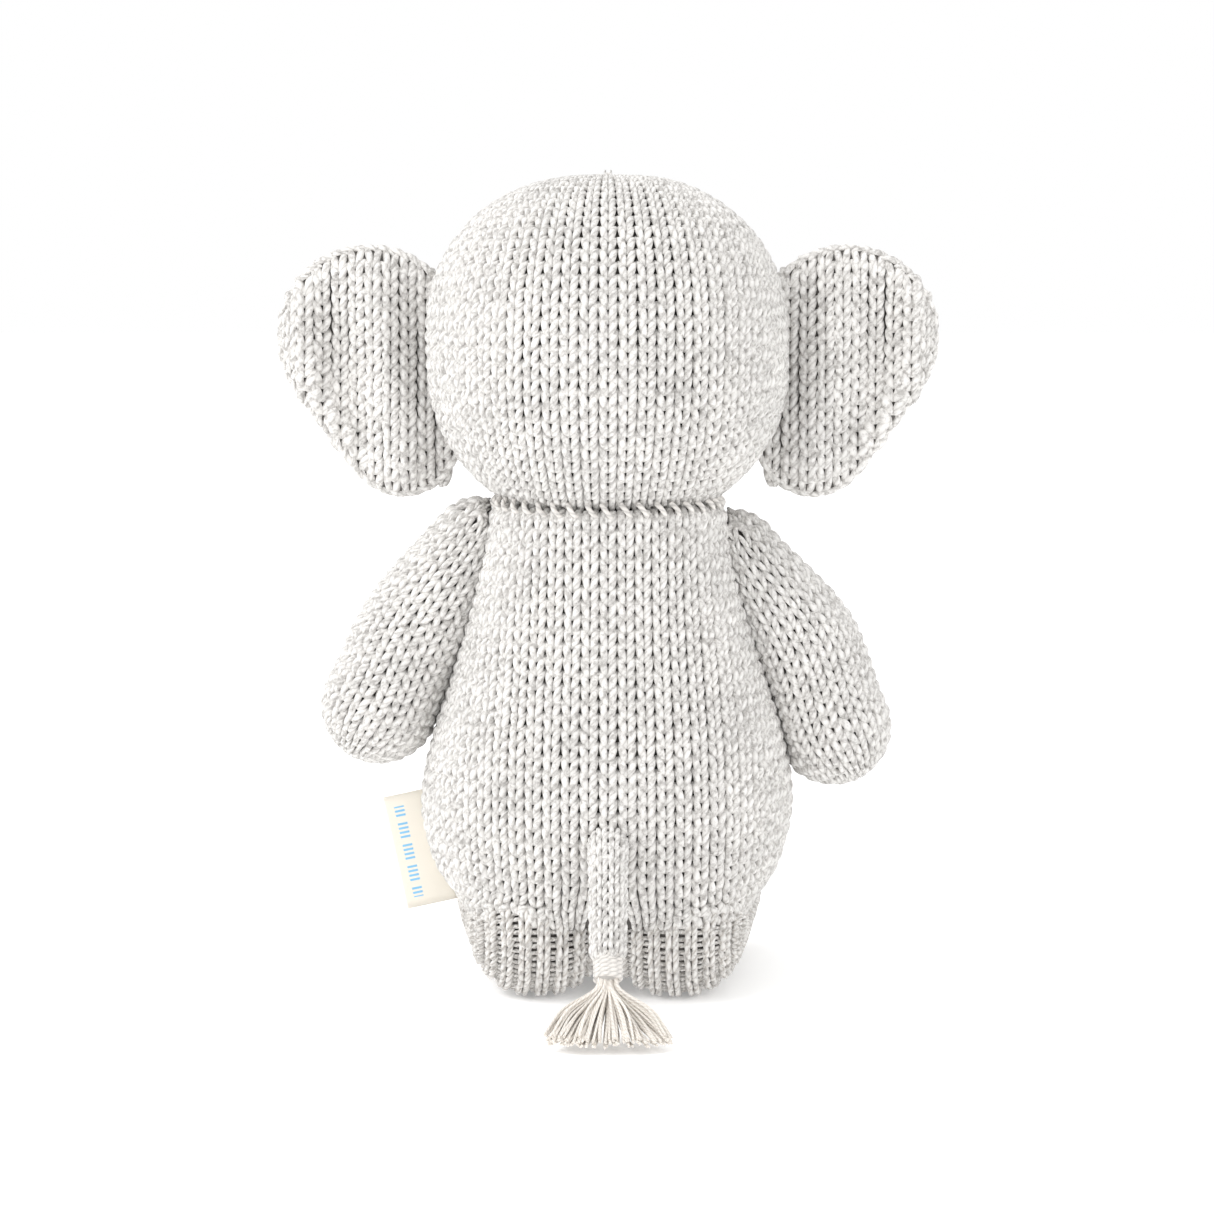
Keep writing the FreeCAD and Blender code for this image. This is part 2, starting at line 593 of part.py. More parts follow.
def make_tail():
    """The tail is a knitted cord, the thread that binds its end, and the tassel."""
    dip = math.radians(size("Sizes.tail_dip"))
    heading = FreeCAD.Vector(0, math.cos(dip), -math.sin(dip))
    root = FreeCAD.Vector(0, size("Sizes.torso_y + Sizes.tail_out"), size("Sizes.tail_z"))
    along = FreeCAD.Rotation(FreeCAD.Vector(1, 0, 0), heading)
    cord = sausage("tail_cord_form", "Sizes.tail_half", "Sizes.tail_end", "Sizes.tail_reach")
    cord.Placement = FreeCAD.Placement(root, along)
    end = root + heading * size("Sizes.tail_reach")
    finish("tail_cord", cord)
    seam_y = "Sizes.torso_y + Sizes.tail_out - 5.4"
    across = FreeCAD.Vector(1, 0, 0)
    seam = ring("tail_seam_ring", "5.2", "Sizes.yarn", "0", seam_y, "Sizes.tail_z", across, 90)
    finish("tail_seam_yarn", seam)
    sleeve = bind(DOC.addObject("Part::Cylinder", "binding_sleeve"), Radius="Sizes.binding_half")
    bind(sleeve, Height="Sizes.binding + 2")
    sleeve.Placement = FreeCAD.Placement(end - heading * 2, FreeCAD.Rotation(UP, heading))
    finish("tail_binding", cut("binding_thread", sleeve, cord))
    start = end + heading * (size("Sizes.binding + Sizes.tassel_root") + 0.35)
    lie = math.radians(size("Sizes.tassel_dip"))
    fan = FreeCAD.Vector(0, math.cos(lie), -math.sin(lie))
    facing = FreeCAD.Rotation(FreeCAD.Vector(1, 0, 0), fan.cross(FreeCAD.Vector(1, 0, 0)), fan, "XZY")
    sections = []
    for number, share in enumerate((0.0, 0.45, 1.0)):
        section = DOC.addObject("Part::Ellipse", f"tassel_{number}")
        wide = size("Sizes.tassel_root") + (size("Sizes.tassel_wide") - size("Sizes.tassel_root")) * share
        deep = size("Sizes.tassel_root") + (size("Sizes.tassel_deep") - size("Sizes.tassel_root")) * share
        section.MajorRadius, section.MinorRadius = wide, deep - 0.001 * number
        section.Placement = FreeCAD.Placement(start + fan * (size("Sizes.tassel_length") * share), facing)
        sections.append(section)
    strands = DOC.addObject("Part::Loft", "tassel_strands")
    strands.Sections = sections
    strands.Solid = True
    knot = DOC.addObject("Part::Sphere", "tassel_knot")
    bind(knot, Radius="Sizes.tassel_root")
    knot.Placement.Base = start
    finish("tail_tassel", pair("Part::MultiFuse", "tassel_whole", strands, knot))


def write_parts():
    """Recomputes the document, checks every object and writes one STEP file for each finished sub-part."""
    DOC.recompute()
    bad = [o.Name for o in DOC.Objects if {"Invalid", "Error"} & set(o.State)]
    if bad:
        raise RuntimeError(f"failed objects: {bad}")
    os.makedirs("parts", exist_ok=True)
    for old in os.listdir("parts"):
        os.remove(os.path.join("parts", old))
    for item in FINISHED:
        shape = item.Shape
        if shape.isNull() or not shape.isValid() or not shape.Solids:
            raise RuntimeError(f"{item.Label} is not a valid solid")
        shape.exportStep(f"parts/{item.Label}.step")
        room = shape.optimalBoundingBox(True, False)
        print(
            f"{item.Label:24s} solids {len(shape.Solids)} volume {shape.Volume / 1000:7.2f} cm3"
            f" x {room.XMin:7.1f} {room.XMax:7.1f} y {room.YMin:7.1f} {room.YMax:7.1f}"
            f" z {room.ZMin:7.1f} {room.ZMax:7.1f}"
        )


make_head()
make_ears()
make_trunk()
make_torso()
make_label()
make_legs()
make_arms()
make_tail()
write_parts()
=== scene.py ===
"""Visual model of a seated hand-knit elephant: stitched covers and linings, corded tail, tassel and label."""
import json
import logging
import math
from dataclasses import dataclass, field
from enum import Enum

import bpy
import numpy as np
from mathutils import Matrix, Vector


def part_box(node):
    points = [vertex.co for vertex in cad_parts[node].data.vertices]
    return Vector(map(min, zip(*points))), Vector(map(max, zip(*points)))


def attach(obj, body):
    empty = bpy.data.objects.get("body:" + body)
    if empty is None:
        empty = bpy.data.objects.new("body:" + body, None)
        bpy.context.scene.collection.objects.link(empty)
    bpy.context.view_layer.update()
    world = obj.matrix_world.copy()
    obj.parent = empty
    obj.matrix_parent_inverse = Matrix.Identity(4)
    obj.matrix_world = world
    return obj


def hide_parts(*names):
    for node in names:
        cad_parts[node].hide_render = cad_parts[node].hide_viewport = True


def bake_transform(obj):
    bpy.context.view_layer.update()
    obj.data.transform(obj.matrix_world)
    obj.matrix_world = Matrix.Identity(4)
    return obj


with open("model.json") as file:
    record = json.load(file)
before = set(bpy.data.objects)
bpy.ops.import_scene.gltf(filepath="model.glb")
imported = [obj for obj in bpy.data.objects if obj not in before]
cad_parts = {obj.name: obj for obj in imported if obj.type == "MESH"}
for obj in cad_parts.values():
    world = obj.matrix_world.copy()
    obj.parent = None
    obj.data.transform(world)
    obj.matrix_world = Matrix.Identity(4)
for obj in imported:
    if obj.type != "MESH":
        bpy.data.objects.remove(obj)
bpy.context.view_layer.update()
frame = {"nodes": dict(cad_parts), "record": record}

LOG = logging.getLogger("elephant")
MM = 0.001
# How far the lining lies inside the middle of the knitting, in millimetres.
LINING_INSET = 2.1
SIDES = (("left", 1.0), ("right", -1.0))

# ---- small helpers ---------------------------------------------------------------------------


def linear(hex_colour: str) -> tuple[float, float, float, float]:
    """Turns an sRGB hex colour into linear light.

    Args:
        hex_colour: Six hex digits, with or without a leading hash.

    Returns:
        Red, green, blue and alpha.
    """
    digits = hex_colour.lstrip("#")
    parts = [int(digits[i:i + 2], 16) / 255 for i in (0, 2, 4)]
    light = [c / 12.92 if c <= 0.04045 else ((c + 0.055) / 1.055) ** 2.4 for c in parts]
    return (light[0], light[1], light[2], 1.0)


def add_node(
    tree: bpy.types.NodeTree, kind: str, settings: dict | None = None, **inputs: object
) -> bpy.types.Node:
    """Adds a node with its settings, values and links.

    Args:
        tree: The node tree that gets the node.
        kind: The node's type name.
        settings: Properties of the node itself.
        **inputs: Socket name or _number to a value or to another node's output socket.

    Returns:
        The new node.
    """
    node = tree.nodes.new(kind)
    for name, value in (settings or {}).items():
        setattr(node, name, value)
    for name, value in inputs.items():
        key = int(name[1:]) if name[0] == "_" else name.replace("_", " ")
        socket = node.inputs[key]
        if isinstance(value, bpy.types.NodeSocket):
            tree.links.new(value, socket)
        else:
            socket.default_value = value
    return node


def box_mm(node: str) -> tuple[np.ndarray, np.ndarray]:
    """A CAD node's lowest and highest corners, in millimetres."""
    low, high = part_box(node)
    return np.array(low, float) / MM, np.array(high, float) / MM


def pivot_mm(joint: str) -> np.ndarray:
    """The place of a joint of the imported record, in millimetres."""
    joints = {j["name"]: j for j in frame["record"]["behaviour"]["joints"]}
    return np.array(joints[joint]["pos_m"], float) / MM


def unit(vectors: np.ndarray) -> np.ndarray:
    """Vectors brought to length one along their last axis."""
    return vectors / np.maximum(np.linalg.norm(vectors, axis=-1, keepdims=True), 1e-9)


def rounded(rows: list[tuple[float, ...]], steps: int = 8) -> np.ndarray:
    """Runs a smooth curve through rows of numbers.

    Args:
        rows: The stations that the curve passes through.
        steps: Points from one station to the next.

    Returns:
        The points of a Catmull-Rom curve.
    """
    points = np.array(rows, float)
    padded = np.vstack([2 * points[0] - points[1], points, 2 * points[-1] - points[-2]])
    out = []
    for a, b, c, d in zip(padded, padded[1:], padded[2:], padded[3:]):
        for share in np.linspace(0, 1, steps, endpoint=False):
            out.append(0.5 * (
                2 * b + (c - a) * share + (2 * a - 5 * b + 4 * c - d) * share**2
                + (3 * b - a - 3 * c + d) * share**3
            ))
    return np.array(out + [points[-1]])


def lumps(points: np.ndarray, size: float, seed: int) -> np.ndarray:
    """A smooth unevenness between about -1 and 1, the same in every run.

    Args:
        points: Places in millimetres.
        size: Distance from one lump to the next.
        seed: Picks the waves.

    Returns:
        One number for each point.
    """
    rng = np.random.default_rng(seed)
    waves = unit(rng.normal(size=(7, 3))) * (2 * math.pi / size) * rng.uniform(0.7, 1.4, (7, 1))
    return np.sin(points @ waves.T + rng.uniform(0, 2 * math.pi, 7)).sum(axis=-1) / 3.0


def new_piece(name: str, mesh: bpy.types.Mesh) -> bpy.types.Object:
    """Links a mesh to the scene as a piece at the origin."""
    piece = bpy.data.objects.new(name, mesh)
    bpy.context.scene.collection.objects.link(piece)
    return piece


def plain_mesh(
    name: str, points: np.ndarray, faces: list, material: bpy.types.Material | None = None
) -> bpy.types.Mesh:
    """Makes a smooth mesh from millimetre points and faces."""
    mesh = bpy.data.meshes.new(name)
    mesh.from_pydata((np.asarray(points) * MM).tolist(), [], faces)
    mesh.shade_smooth()
    if material is not None:
        mesh.materials.append(material)
    mesh.update()
    return mesh


def store(mesh: bpy.types.Mesh, name: str, kind: str, domain: str, values: np.ndarray) -> None:
    """Writes numbers to a mesh attribute."""
    layer = mesh.attributes.new(name, kind, domain)
    layer.data.foreach_set("vector" if kind == "FLOAT_VECTOR" else "value", np.asarray(values, float).ravel())


def joined(name: str, meshes: list[bpy.types.Mesh]) -> bpy.types.Object:
    """Joins meshes into one piece, with a material slot for each material."""
    pieces = [new_piece(f"{name}_{number}", mesh) for number, mesh in enumerate(meshes)]
    if len(pieces) > 1:
        with bpy.context.temp_override(
            active_object=pieces[0], object=pieces[0],
            selected_objects=pieces, selected_editable_objects=pieces
        ):
            bpy.ops.object.join()
    pieces[0].name = pieces[0].data.name = name
    return pieces[0]


# ---- finishes --------------------------------------------------------------------------------


@dataclass(frozen=True)
class CottonYarn:
    """Soft two-ply cotton: matte, off-white, with grey flecks spun in and a twist line at each ply, whose
    groove is darkened as painted shade.
    """

    name: str
    light: str = "F1EFEC"
    # Colour of the twist groove between the plies: painted shade.
    groove_shade: str = "CBC8C4"
    fleck: str = "9C9894"
    flecks: float = 0.62
    ply_pitch: float = 3.6
    ply_depth: float = 0.0003

    def material(self) -> bpy.types.Material:
        """Builds the yarn's material.

        Returns:
            A material that reads the twist attribute: sine and cosine round the yarn, and
            millimetres along it.
        """
        material = bpy.data.materials.new(self.name)
        material.use_nodes = True
        tree = material.node_tree
        tree.nodes.clear()
        place = add_node(tree, "ShaderNodeTexCoord").outputs["Object"]
        twist = add_node(tree, "ShaderNodeAttribute", {"attribute_name": "twist"}).outputs["Vector"]
        tone = add_node(tree, "ShaderNodeAttribute", {"attribute_name": "tone"}).outputs["Fac"]
        parts = add_node(tree, "ShaderNodeSeparateXYZ", Vector=twist)

        def math_node(operation: str, a: object, b: object = 0.0, c: object = 0.0) -> bpy.types.NodeSocket:
            """One math node's output."""
            return add_node(tree, "ShaderNodeMath", {"operation": operation}, _0=a, _1=b, _2=c).outputs[0]

        shift = math_node("MULTIPLY", tone, 17.0)
        along = math_node("MULTIPLY_ADD", parts.outputs["Z"], math.pi / self.ply_pitch, shift)
        one = math_node("MULTIPLY", math_node("SINE", along), parts.outputs["Y"])
        two = math_node("MULTIPLY", math_node("COSINE", along), parts.outputs["X"])
        wave = math_node("ABSOLUTE", math_node("ADD", one, two))
        ply = math_node("POWER", wave, 0.55)
        # Fibre is about 0.3 mm coarse here; a real one is too fine to show.
        fibre = add_node(tree, "ShaderNodeTexNoise", Vector=place, Scale=2600.0, Detail=3.0, Roughness=0.65)
        marl = add_node(tree, "ShaderNodeTexNoise", Vector=place, Scale=620.0, Detail=2.0, Roughness=0.6)
        spots = add_node(
            tree, "ShaderNodeMapRange", Value=marl.outputs["Fac"], _1=0.48, _2=0.66, _3=0.0, _4=self.flecks
        )
        # The ply wave mixes towards the groove colour in the twist: painted shade there; the same wave also
        # drives the bump.
        base = add_node(
            tree, "ShaderNodeMix", {"data_type": "RGBA"},
            _0=ply, _6=linear(self.groove_shade), _7=linear(self.light)
        )
        flecked = add_node(
            tree, "ShaderNodeMix", {"data_type": "RGBA"},
            _0=spots.outputs["Result"], _6=base.outputs[2], _7=linear(self.fleck),
        )
        even = math_node("MULTIPLY_ADD", tone, 0.16, 0.88)
        colour = add_node(
            tree, "ShaderNodeVectorMath", {"operation": "SCALE"}, _0=flecked.outputs[2], Scale=even
        )
        height = math_node("MULTIPLY_ADD", fibre.outputs["Fac"], 0.45, ply)
        bump = add_node(tree, "ShaderNodeBump", Strength=0.9, Distance=self.ply_depth, Height=height)
        shader = add_node(
            tree, "ShaderNodeBsdfPrincipled",
            Base_Color=colour.outputs[0], Roughness=0.92, Normal=bump.outputs[0],
            Specular_IOR_Level=0.25, Sheen_Weight=0.25, Sheen_Roughness=0.6,
        )
        add_node(tree, "ShaderNodeOutputMaterial", Surface=shader.outputs[0])
        return material


@dataclass(frozen=True)
class PaintedShadeLining:
    """The back of the knitting and the filling behind it, coloured dark grey as painted shade in the gaps
    between stitches.
    """

    name: str
    # Far darker than the off-white cotton and filling: painted shade seen through the gaps between stitches.
    colour: str = "706D6A"

    def material(self) -> bpy.types.Material:
        """Builds a dull mottled dark material: painted shade for the gaps between stitches."""
        material = bpy.data.materials.new(self.name)
        material.use_nodes = True
        tree = material.node_tree
        tree.nodes.clear()
        place = add_node(tree, "ShaderNodeTexCoord").outputs["Object"]
        mottle = add_node(tree, "ShaderNodeTexNoise", Vector=place, Scale=900.0, Detail=3.0)
        dark = tuple(0.6 * c for c in linear(self.colour)[:3]) + (1.0,)
        colour = add_node(
            tree, "ShaderNodeMix", {"data_type": "RGBA"},
            _0=mottle.outputs["Fac"], _6=dark, _7=linear(self.colour)
        )
        bump = add_node(tree, "ShaderNodeBump", Strength=0.6, Distance=0.0004, Height=mottle.outputs["Fac"])
        shader = add_node(
            tree, "ShaderNodeBsdfPrincipled",
            Base_Color=colour.outputs[2], Roughness=1.0, Specular_IOR_Level=0.1, Normal=bump.outputs[0],
        )
        add_node(tree, "ShaderNodeOutputMaterial", Surface=shader.outputs[0])
        return material


@dataclass(frozen=True)
class WovenTape:
    """Fine plain-woven cotton tape in cream, with short pale-blue printed dashes down its middle."""

    name: str
    cream: str = "F4EEE2"
    print_colour: str = "86C5EC"
    threads: float = 0.45

    def material(self) -> bpy.types.Material:
        """Builds the tape's material from its own UV map, which counts millimetres."""
        material = bpy.data.materials.new(self.name)
        material.use_nodes = True
        tree = material.node_tree
        tree.nodes.clear()
        place = add_node(tree, "ShaderNodeUVMap", {"uv_map": "tape"}).outputs[0]
        parts = add_node(tree, "ShaderNodeSeparateXYZ", Vector=place)

        def math_node(operation: str, a: object, b: object = 0.0, c: object = 0.0) -> bpy.types.NodeSocket:
            """One math node's output."""
            return add_node(tree, "ShaderNodeMath", {"operation": operation}, _0=a, _1=b, _2=c).outputs[0]

        warp = math_node("SINE", math_node("MULTIPLY", parts.outputs["X"], 2 * math.pi / self.threads))
        weft = math_node("SINE", math_node("MULTIPLY", parts.outputs["Y"], 2 * math.pi / self.threads))
        weave = math_node("MULTIPLY", warp, weft)
        # Bars: 0.65 mm thick every 1.35 mm, in a band whose outer edge is 2.6 mm from the fold, with gaps.
        beat = math_node("MODULO", parts.outputs["Y"], 1.35)
        bar = math_node("LESS_THAN", beat, 0.65)
        from_band = math_node("ABSOLUTE", math_node("SUBTRACT", parts.outputs["X"], 4.1))
        band = math_node("LESS_THAN", from_band, 1.5)
        gap = math_node("GREATER_THAN", math_node("MODULO", parts.outputs["Y"], 6.75), 1.35)
        inside = math_node("MULTIPLY", math_node("GREATER_THAN", parts.outputs["Y"], 3.0),
                           math_node("LESS_THAN", parts.outputs["Y"], 31.5))
        inked = math_node("MULTIPLY", math_node("MULTIPLY", band, bar), math_node("MULTIPLY", inside, gap))
        cloth = add_node(
            tree, "ShaderNodeMix", {"data_type": "RGBA"},
            _0=math_node("MULTIPLY_ADD", weave, 0.12, 0.12), _6=linear(self.cream), _7=linear("D9D0BF"),
        )
        colour = add_node(
            tree, "ShaderNodeMix", {"data_type": "RGBA"},
            _0=inked, _6=cloth.outputs[2], _7=linear(self.print_colour)
        )
        bump = add_node(tree, "ShaderNodeBump", Strength=0.5, Distance=0.00012, Height=weave)
        shader = add_node(
            tree, "ShaderNodeBsdfPrincipled",
            Base_Color=colour.outputs[2], Roughness=0.8, Specular_IOR_Level=0.3, Normal=bump.outputs[0],
        )
        add_node(tree, "ShaderNodeOutputMaterial", Surface=shader.outputs[0])
        return material


@dataclass(frozen=True)
class MattePaper:
    """Seamless white studio paper under and behind the toy."""

    name: str = "studio_paper"
    colour: str = "FDFDFD"

    def material(self) -> bpy.types.Material:
        """Builds the floor's material."""
        material = bpy.data.materials.new(self.name)
        material.use_nodes = True
        shader = material.node_tree.nodes["Principled BSDF"]
        shader.inputs["Base Color"].default_value = linear(self.colour)
        shader.inputs["Roughness"].default_value = 0.95
        shader.inputs["Emission Color"].default_value = linear(self.colour)
        shader.inputs["Emission Strength"].default_value = 0.22
        return material


# ---- forms -----------------------------------------------------------------------------------


class RoundForm:
    """A stuffed form with one upright axis, drawn as ellipses from its lower to its upper pole."""

    def __init__(self, stations: np.ndarray, origin: np.ndarray, axes: np.ndarray | None = None) -> None:
        """Keeps the form's outline and place.

        Args:
            stations: Rows of height, half width, half depth and backward shift.
            origin: Where height 0 is.
            axes: Columns are the form's sideways, backward and upward directions.
        """
        self.stations = stations
        self.origin = origin
        self.axes = np.eye(3) if axes is None else axes
        middle = (stations[:, 1] + stations[:, 2]) / 2
        steps = np.hypot(np.diff(stations[:, 0]), np.diff(middle))
        self.along = np.concatenate([[0.0], np.cumsum(steps)])
        self.span = float(self.along[-1])

    def station(self, at: float) -> np.ndarray:
        """Height, half width, half depth and shift at a distance along the outline."""
        return np.array([np.interp(at, self.along, column) for column in self.stations.T])

    def centre(self, at: float) -> np.ndarray:
        """The middle of the ring at a distance along the outline."""
        height, _, _, shift = self.station(at)
        return self.origin + self.axes @ np.array([0.0, shift, height])

    def ring(self, at: float, turn: np.ndarray) -> np.ndarray:
        """Points on the ring at a distance along the outline; turn 0 is the middle of the back."""
        height, wide, deep, shift = self.station(at)
        level = np.full_like(turn, height)
        local = np.stack([-wide * np.sin(turn), shift + deep * np.cos(turn), level], axis=-1)
        return self.origin + local @ self.axes.T

    def at_height(self, height: float) -> float:
        """The distance along the outline at which the form reaches a height."""
        return float(np.interp(height, self.stations[:, 0], self.along))


class PathForm:
    """A stuffed or corded tube whose middle follows a curve in the YZ plane."""

    def __init__(self, path: np.ndarray, radii: np.ndarray) -> None:
        """Keeps the tube's middle line and its radius at each point of it."""
        self.path, self.radii = path, radii
        steps = np.linalg.norm(np.diff(path, axis=0), axis=1)
        fall = np.abs(np.diff(radii))
        self.along = np.concatenate([[0.0], np.cumsum(np.hypot(steps, fall) + 1e-6)])
        self.span = float(self.along[-1])
        self.heading = unit(np.gradient(path, axis=0))

    def centre(self, at: float) -> np.ndarray:
        """The middle of the tube at a distance along it."""
        return np.array([np.interp(at, self.along, column) for column in self.path.T])

    def ring(self, at: float, turn: np.ndarray) -> np.ndarray:
        """Points round the tube at a distance along it."""
        heading = unit(np.array([np.interp(at, self.along, column) for column in self.heading.T]))
        side = np.array([1.0, 0.0, 0.0])
        back = np.cross(side, heading)
        radius = float(np.interp(at, self.along, self.radii))
        return self.centre(at) + radius * (np.outer(-np.sin(turn), side) + np.outer(np.cos(turn), back))


def closed_tube(form: RoundForm | PathForm, inset: float, rings: int, sides: int) -> tuple[np.ndarray, list]:
    """The closed surface of a form, drawn inwards.

    Args:
        form: The form to follow.
        inset: How far inside the form's surface it lies.
        rings: Rings between the two poles.
        sides: Corners of each ring.

    Returns:
        Points and faces, with a pole at each end.
    """
    turn = np.linspace(0, 2 * math.pi, sides, endpoint=False)
    places = np.linspace(0, form.span, rings + 2)[1:-1]
    points = []
    for at in places:
        middle = form.centre(at)
        ring = form.ring(at, turn)
        reach = np.linalg.norm(ring - middle, axis=1, keepdims=True)
        points.append(middle + (ring - middle) * np.maximum(reach - inset, 0.3) / np.maximum(reach, 1e-6))
    ends = [form.centre(0.0), form.centre(form.span)]
    inward = unit(ends[1] - ends[0]) * inset
    cloud = np.vstack(points + [ends[0] + inward, ends[1] - inward])
    faces = []
    for k in range(rings - 1):
        for j in range(sides):
            a, b = k * sides + j, k * sides + (j + 1) % sides
            faces.append((a, b, b + sides, a + sides))
    low, high, last = rings * sides, rings * sides + 1, (rings - 1) * sides
    for j in range(sides):
        faces.append((low, (j + 1) % sides, j))
        faces.append((high, last + j, last + (j + 1) % sides))
    return cloud, faces


def facing_out(points: np.ndarray, faces: list) -> list:
    """Turns all the faces of a closed surface round if its volume comes out negative."""
    volume = 0.0
    for face in faces:
        a = points[face[0]]
        for b, c in zip(face[1:], face[2:]):
            volume += float(np.dot(a, np.cross(points[b], points[c])))
    return faces if volume > 0 else [tuple(reversed(face)) for face in faces]


# ---- knitting --------------------------------------------------------------------------------


class Knit:
    """A piece of stockinette: the room of every stitch as a quad, its lower edge first."""

    def __init__(self, quads: np.ndarray, outward: np.ndarray) -> None:
        """Keeps the quads' corners and a rough outward direction for each."""
        self.quads, self.outward = quads, outward

    @classmethod
    def panels(
        cls, form: RoundForm, span: tuple[float, float], wale: float, row: float, converge: float
    ) -> "Knit":
        """Knits a back and a front panel that meet at the sides, with the shaping in the side seams.

        Args:
            form: The form that the panels cover.
            span: Where the knitting starts and ends along the form's outline.
            wale: Width of a stitch in the middle of the widest row.
            row: Height of a stitch.
            converge: 0 keeps the columns parallel, 1 draws all of them together where the form is narrow.

        Returns:
            The two panels as one piece of knitting.
        """
        count = max(1, round((span[1] - span[0]) / row))
        edges = np.linspace(*span, count + 1)
        turns = np.linspace(0, math.pi, 121)
        lengths, quarters = [], []
        for at in edges:
            steps = np.linalg.norm(np.diff(form.ring(at, turns), axis=0), axis=1)
            along = np.concatenate([[0.0], np.cumsum(steps)])
            lengths.append(along)
            quarters.append(np.interp(math.pi / 2, turns, along))
        widest = max(along[-1] for along in lengths)
        widths = [wale * (along[-1] / widest) ** converge for along in lengths]
        quads, outward = [], []
        for k in range(count):
            for front in (False, True):
                reach = [
                    (lengths[m][-1] - quarters[m]) if front else quarters[m] for m in (k, k + 1)
                ]
                wide = [widths[k], widths[k + 1]]
                spare = (sum(reach) / 2 - sum(wide) / 4) / (sum(wide) / 2)
                columns = max(0, round(spare))
                rims = []
                for m in (0, 1):
                    rim = [min((j + 0.5) * wide[m], reach[m]) for j in range(columns)] + [reach[m]]
                    rims.append(np.array([-value for value in reversed(rim)] + rim))
                corners = []
                for m in (0, 1):
                    along = lengths[k + m]
                    distance = along[-1] - np.abs(rims[m]) if front else np.abs(rims[m])
                    turn = np.interp(distance, along, turns) * np.sign(rims[m])
                    if front:
                        turn = -turn
                    corners.append(form.ring(edges[k + m], turn))
                middle = form.centre((edges[k] + edges[k + 1]) / 2)
                for j in range(2 * columns + 1):
                    quad = np.array([corners[0][j], corners[0][j + 1], corners[1][j + 1], corners[1][j]])
                    quads.append(quad)
                    outward.append(quad.mean(axis=0) - middle)
        return cls(np.array(quads), np.array(outward))

    @classmethod
    def rounds(
        cls, form: RoundForm | PathForm, span: tuple[float, float], columns: int, wale: float, row: float
    ) -> "Knit":
        """Knits in the round, with half as many columns where the form becomes narrow."""
        count = max(1, round((span[1] - span[0]) / row))
        edges = np.linspace(*span, count + 1)
        turns = np.linspace(0, 2 * math.pi, 97)
        quads, outward = [], []
        for k in range(count):
            middle_at = (edges[k] + edges[k + 1]) / 2
            middle = form.centre(middle_at)
            round_length = np.linalg.norm(np.diff(form.ring(middle_at, turns), axis=0), axis=1).sum()
            around = columns
            while round_length / around < 0.6 * wale and around > 4:
                around = math.ceil(around / 2)
            turn = (np.arange(around + 1) - 0.5) * (2 * math.pi / around)
            low, high = form.ring(edges[k], turn), form.ring(edges[k + 1], turn)
            for j in range(around):
                quad = np.array([low[j], low[j + 1], high[j + 1], high[j]])
                quads.append(quad)
                outward.append(quad.mean(axis=0) - middle)
        return cls(np.array(quads), np.array(outward))

    def moved(self, move: object) -> "Knit":
        """The knitting after a function has moved all its points."""
        return Knit(move(self.quads.reshape(-1, 3)).reshape(-1, 4, 3), self.outward)

    def uneven(self, amount: float, size: float, seed: int) -> "Knit":
        """The knitting over slightly lumpy filling."""
        flat = self.quads.reshape(-1, 3)
        out = np.repeat(unit(self.outward), 4, axis=0)
        bumpy = flat + out * (amount * lumps(flat, size, seed))[:, None]
        return Knit(bumpy.reshape(-1, 4, 3), self.outward)

    def filled(self, pressure: float = 4.0, cap: float = 1.6) -> "Knit":
        """Swells the knitting as its filling does, with a cloth simulation held at its seams.

        Args:
            pressure: Air pressure in the simulation.
            cap: The most that a point may move.
        """
        flat = self.quads.reshape(-1, 3)
        _, first, same = np.unique(np.round(flat, 2), axis=0, return_index=True, return_inverse=True)
        same = same.ravel()
        points = flat[first]
        faces = same.reshape(-1, 4)
        quads = points[faces]
        normal = np.cross(quads[:, 2] - quads[:, 0], quads[:, 3] - quads[:, 1])
        flip = (normal * self.outward).sum(axis=1) < 0
        ordered = np.where(flip[:, None], faces[:, ::-1], faces)
        tidy = [tuple(dict.fromkeys(face.tolist())) for face in ordered]
        tidy = [face for face in tidy if len(face) > 2]
        uses: dict[tuple[int, int], int] = {}
        for face in tidy:
            for a, b in zip(face, face[1:] + face[:1]):
                key = (min(a, b), max(a, b))
                uses[key] = uses.get(key, 0) + 1
        rim = sorted({v for edge, times in uses.items() if times == 1 for v in edge})
        mesh = plain_mesh("cloth_trial", points, tidy)
        trial = new_piece("cloth_trial", mesh)
        trial.vertex_groups.new(name="held").add(rim, 1.0, "REPLACE")
        cloth = trial.modifiers.new("cloth", "CLOTH")
        cloth.settings.quality = 4
        cloth.settings.mass = 0.1
        cloth.settings.tension_stiffness = cloth.settings.compression_stiffness = 40
        cloth.settings.shear_stiffness = 20
        cloth.settings.bending_stiffness = 1.0
        cloth.settings.effector_weights.gravity = 0
        cloth.settings.use_pressure = True
        cloth.settings.uniform_pressure_force = pressure
        cloth.settings.vertex_group_mass = "held"
        scene = bpy.context.scene
        for number in range(1, 21):
            scene.frame_set(number)
        solved = trial.evaluated_get(bpy.context.evaluated_depsgraph_get()).data
        co = np.empty(len(points) * 3)
        solved.vertices.foreach_get("co", co)
        move = co.reshape(-1, 3) / MM - points
        length = np.linalg.norm(move, axis=1, keepdims=True)
        mean, most = float(length.mean()), float(length.max())
        LOG.info("cloth swelled by %.2f mm on average, %.2f mm at most", mean, most)
        move *= np.minimum(1.0, cap / np.maximum(length, 1e-9))
        scene.frame_set(1)
        bpy.data.objects.remove(trial)
        bpy.data.meshes.remove(mesh)
        return Knit((points + move)[same].reshape(-1, 4, 3), self.outward)

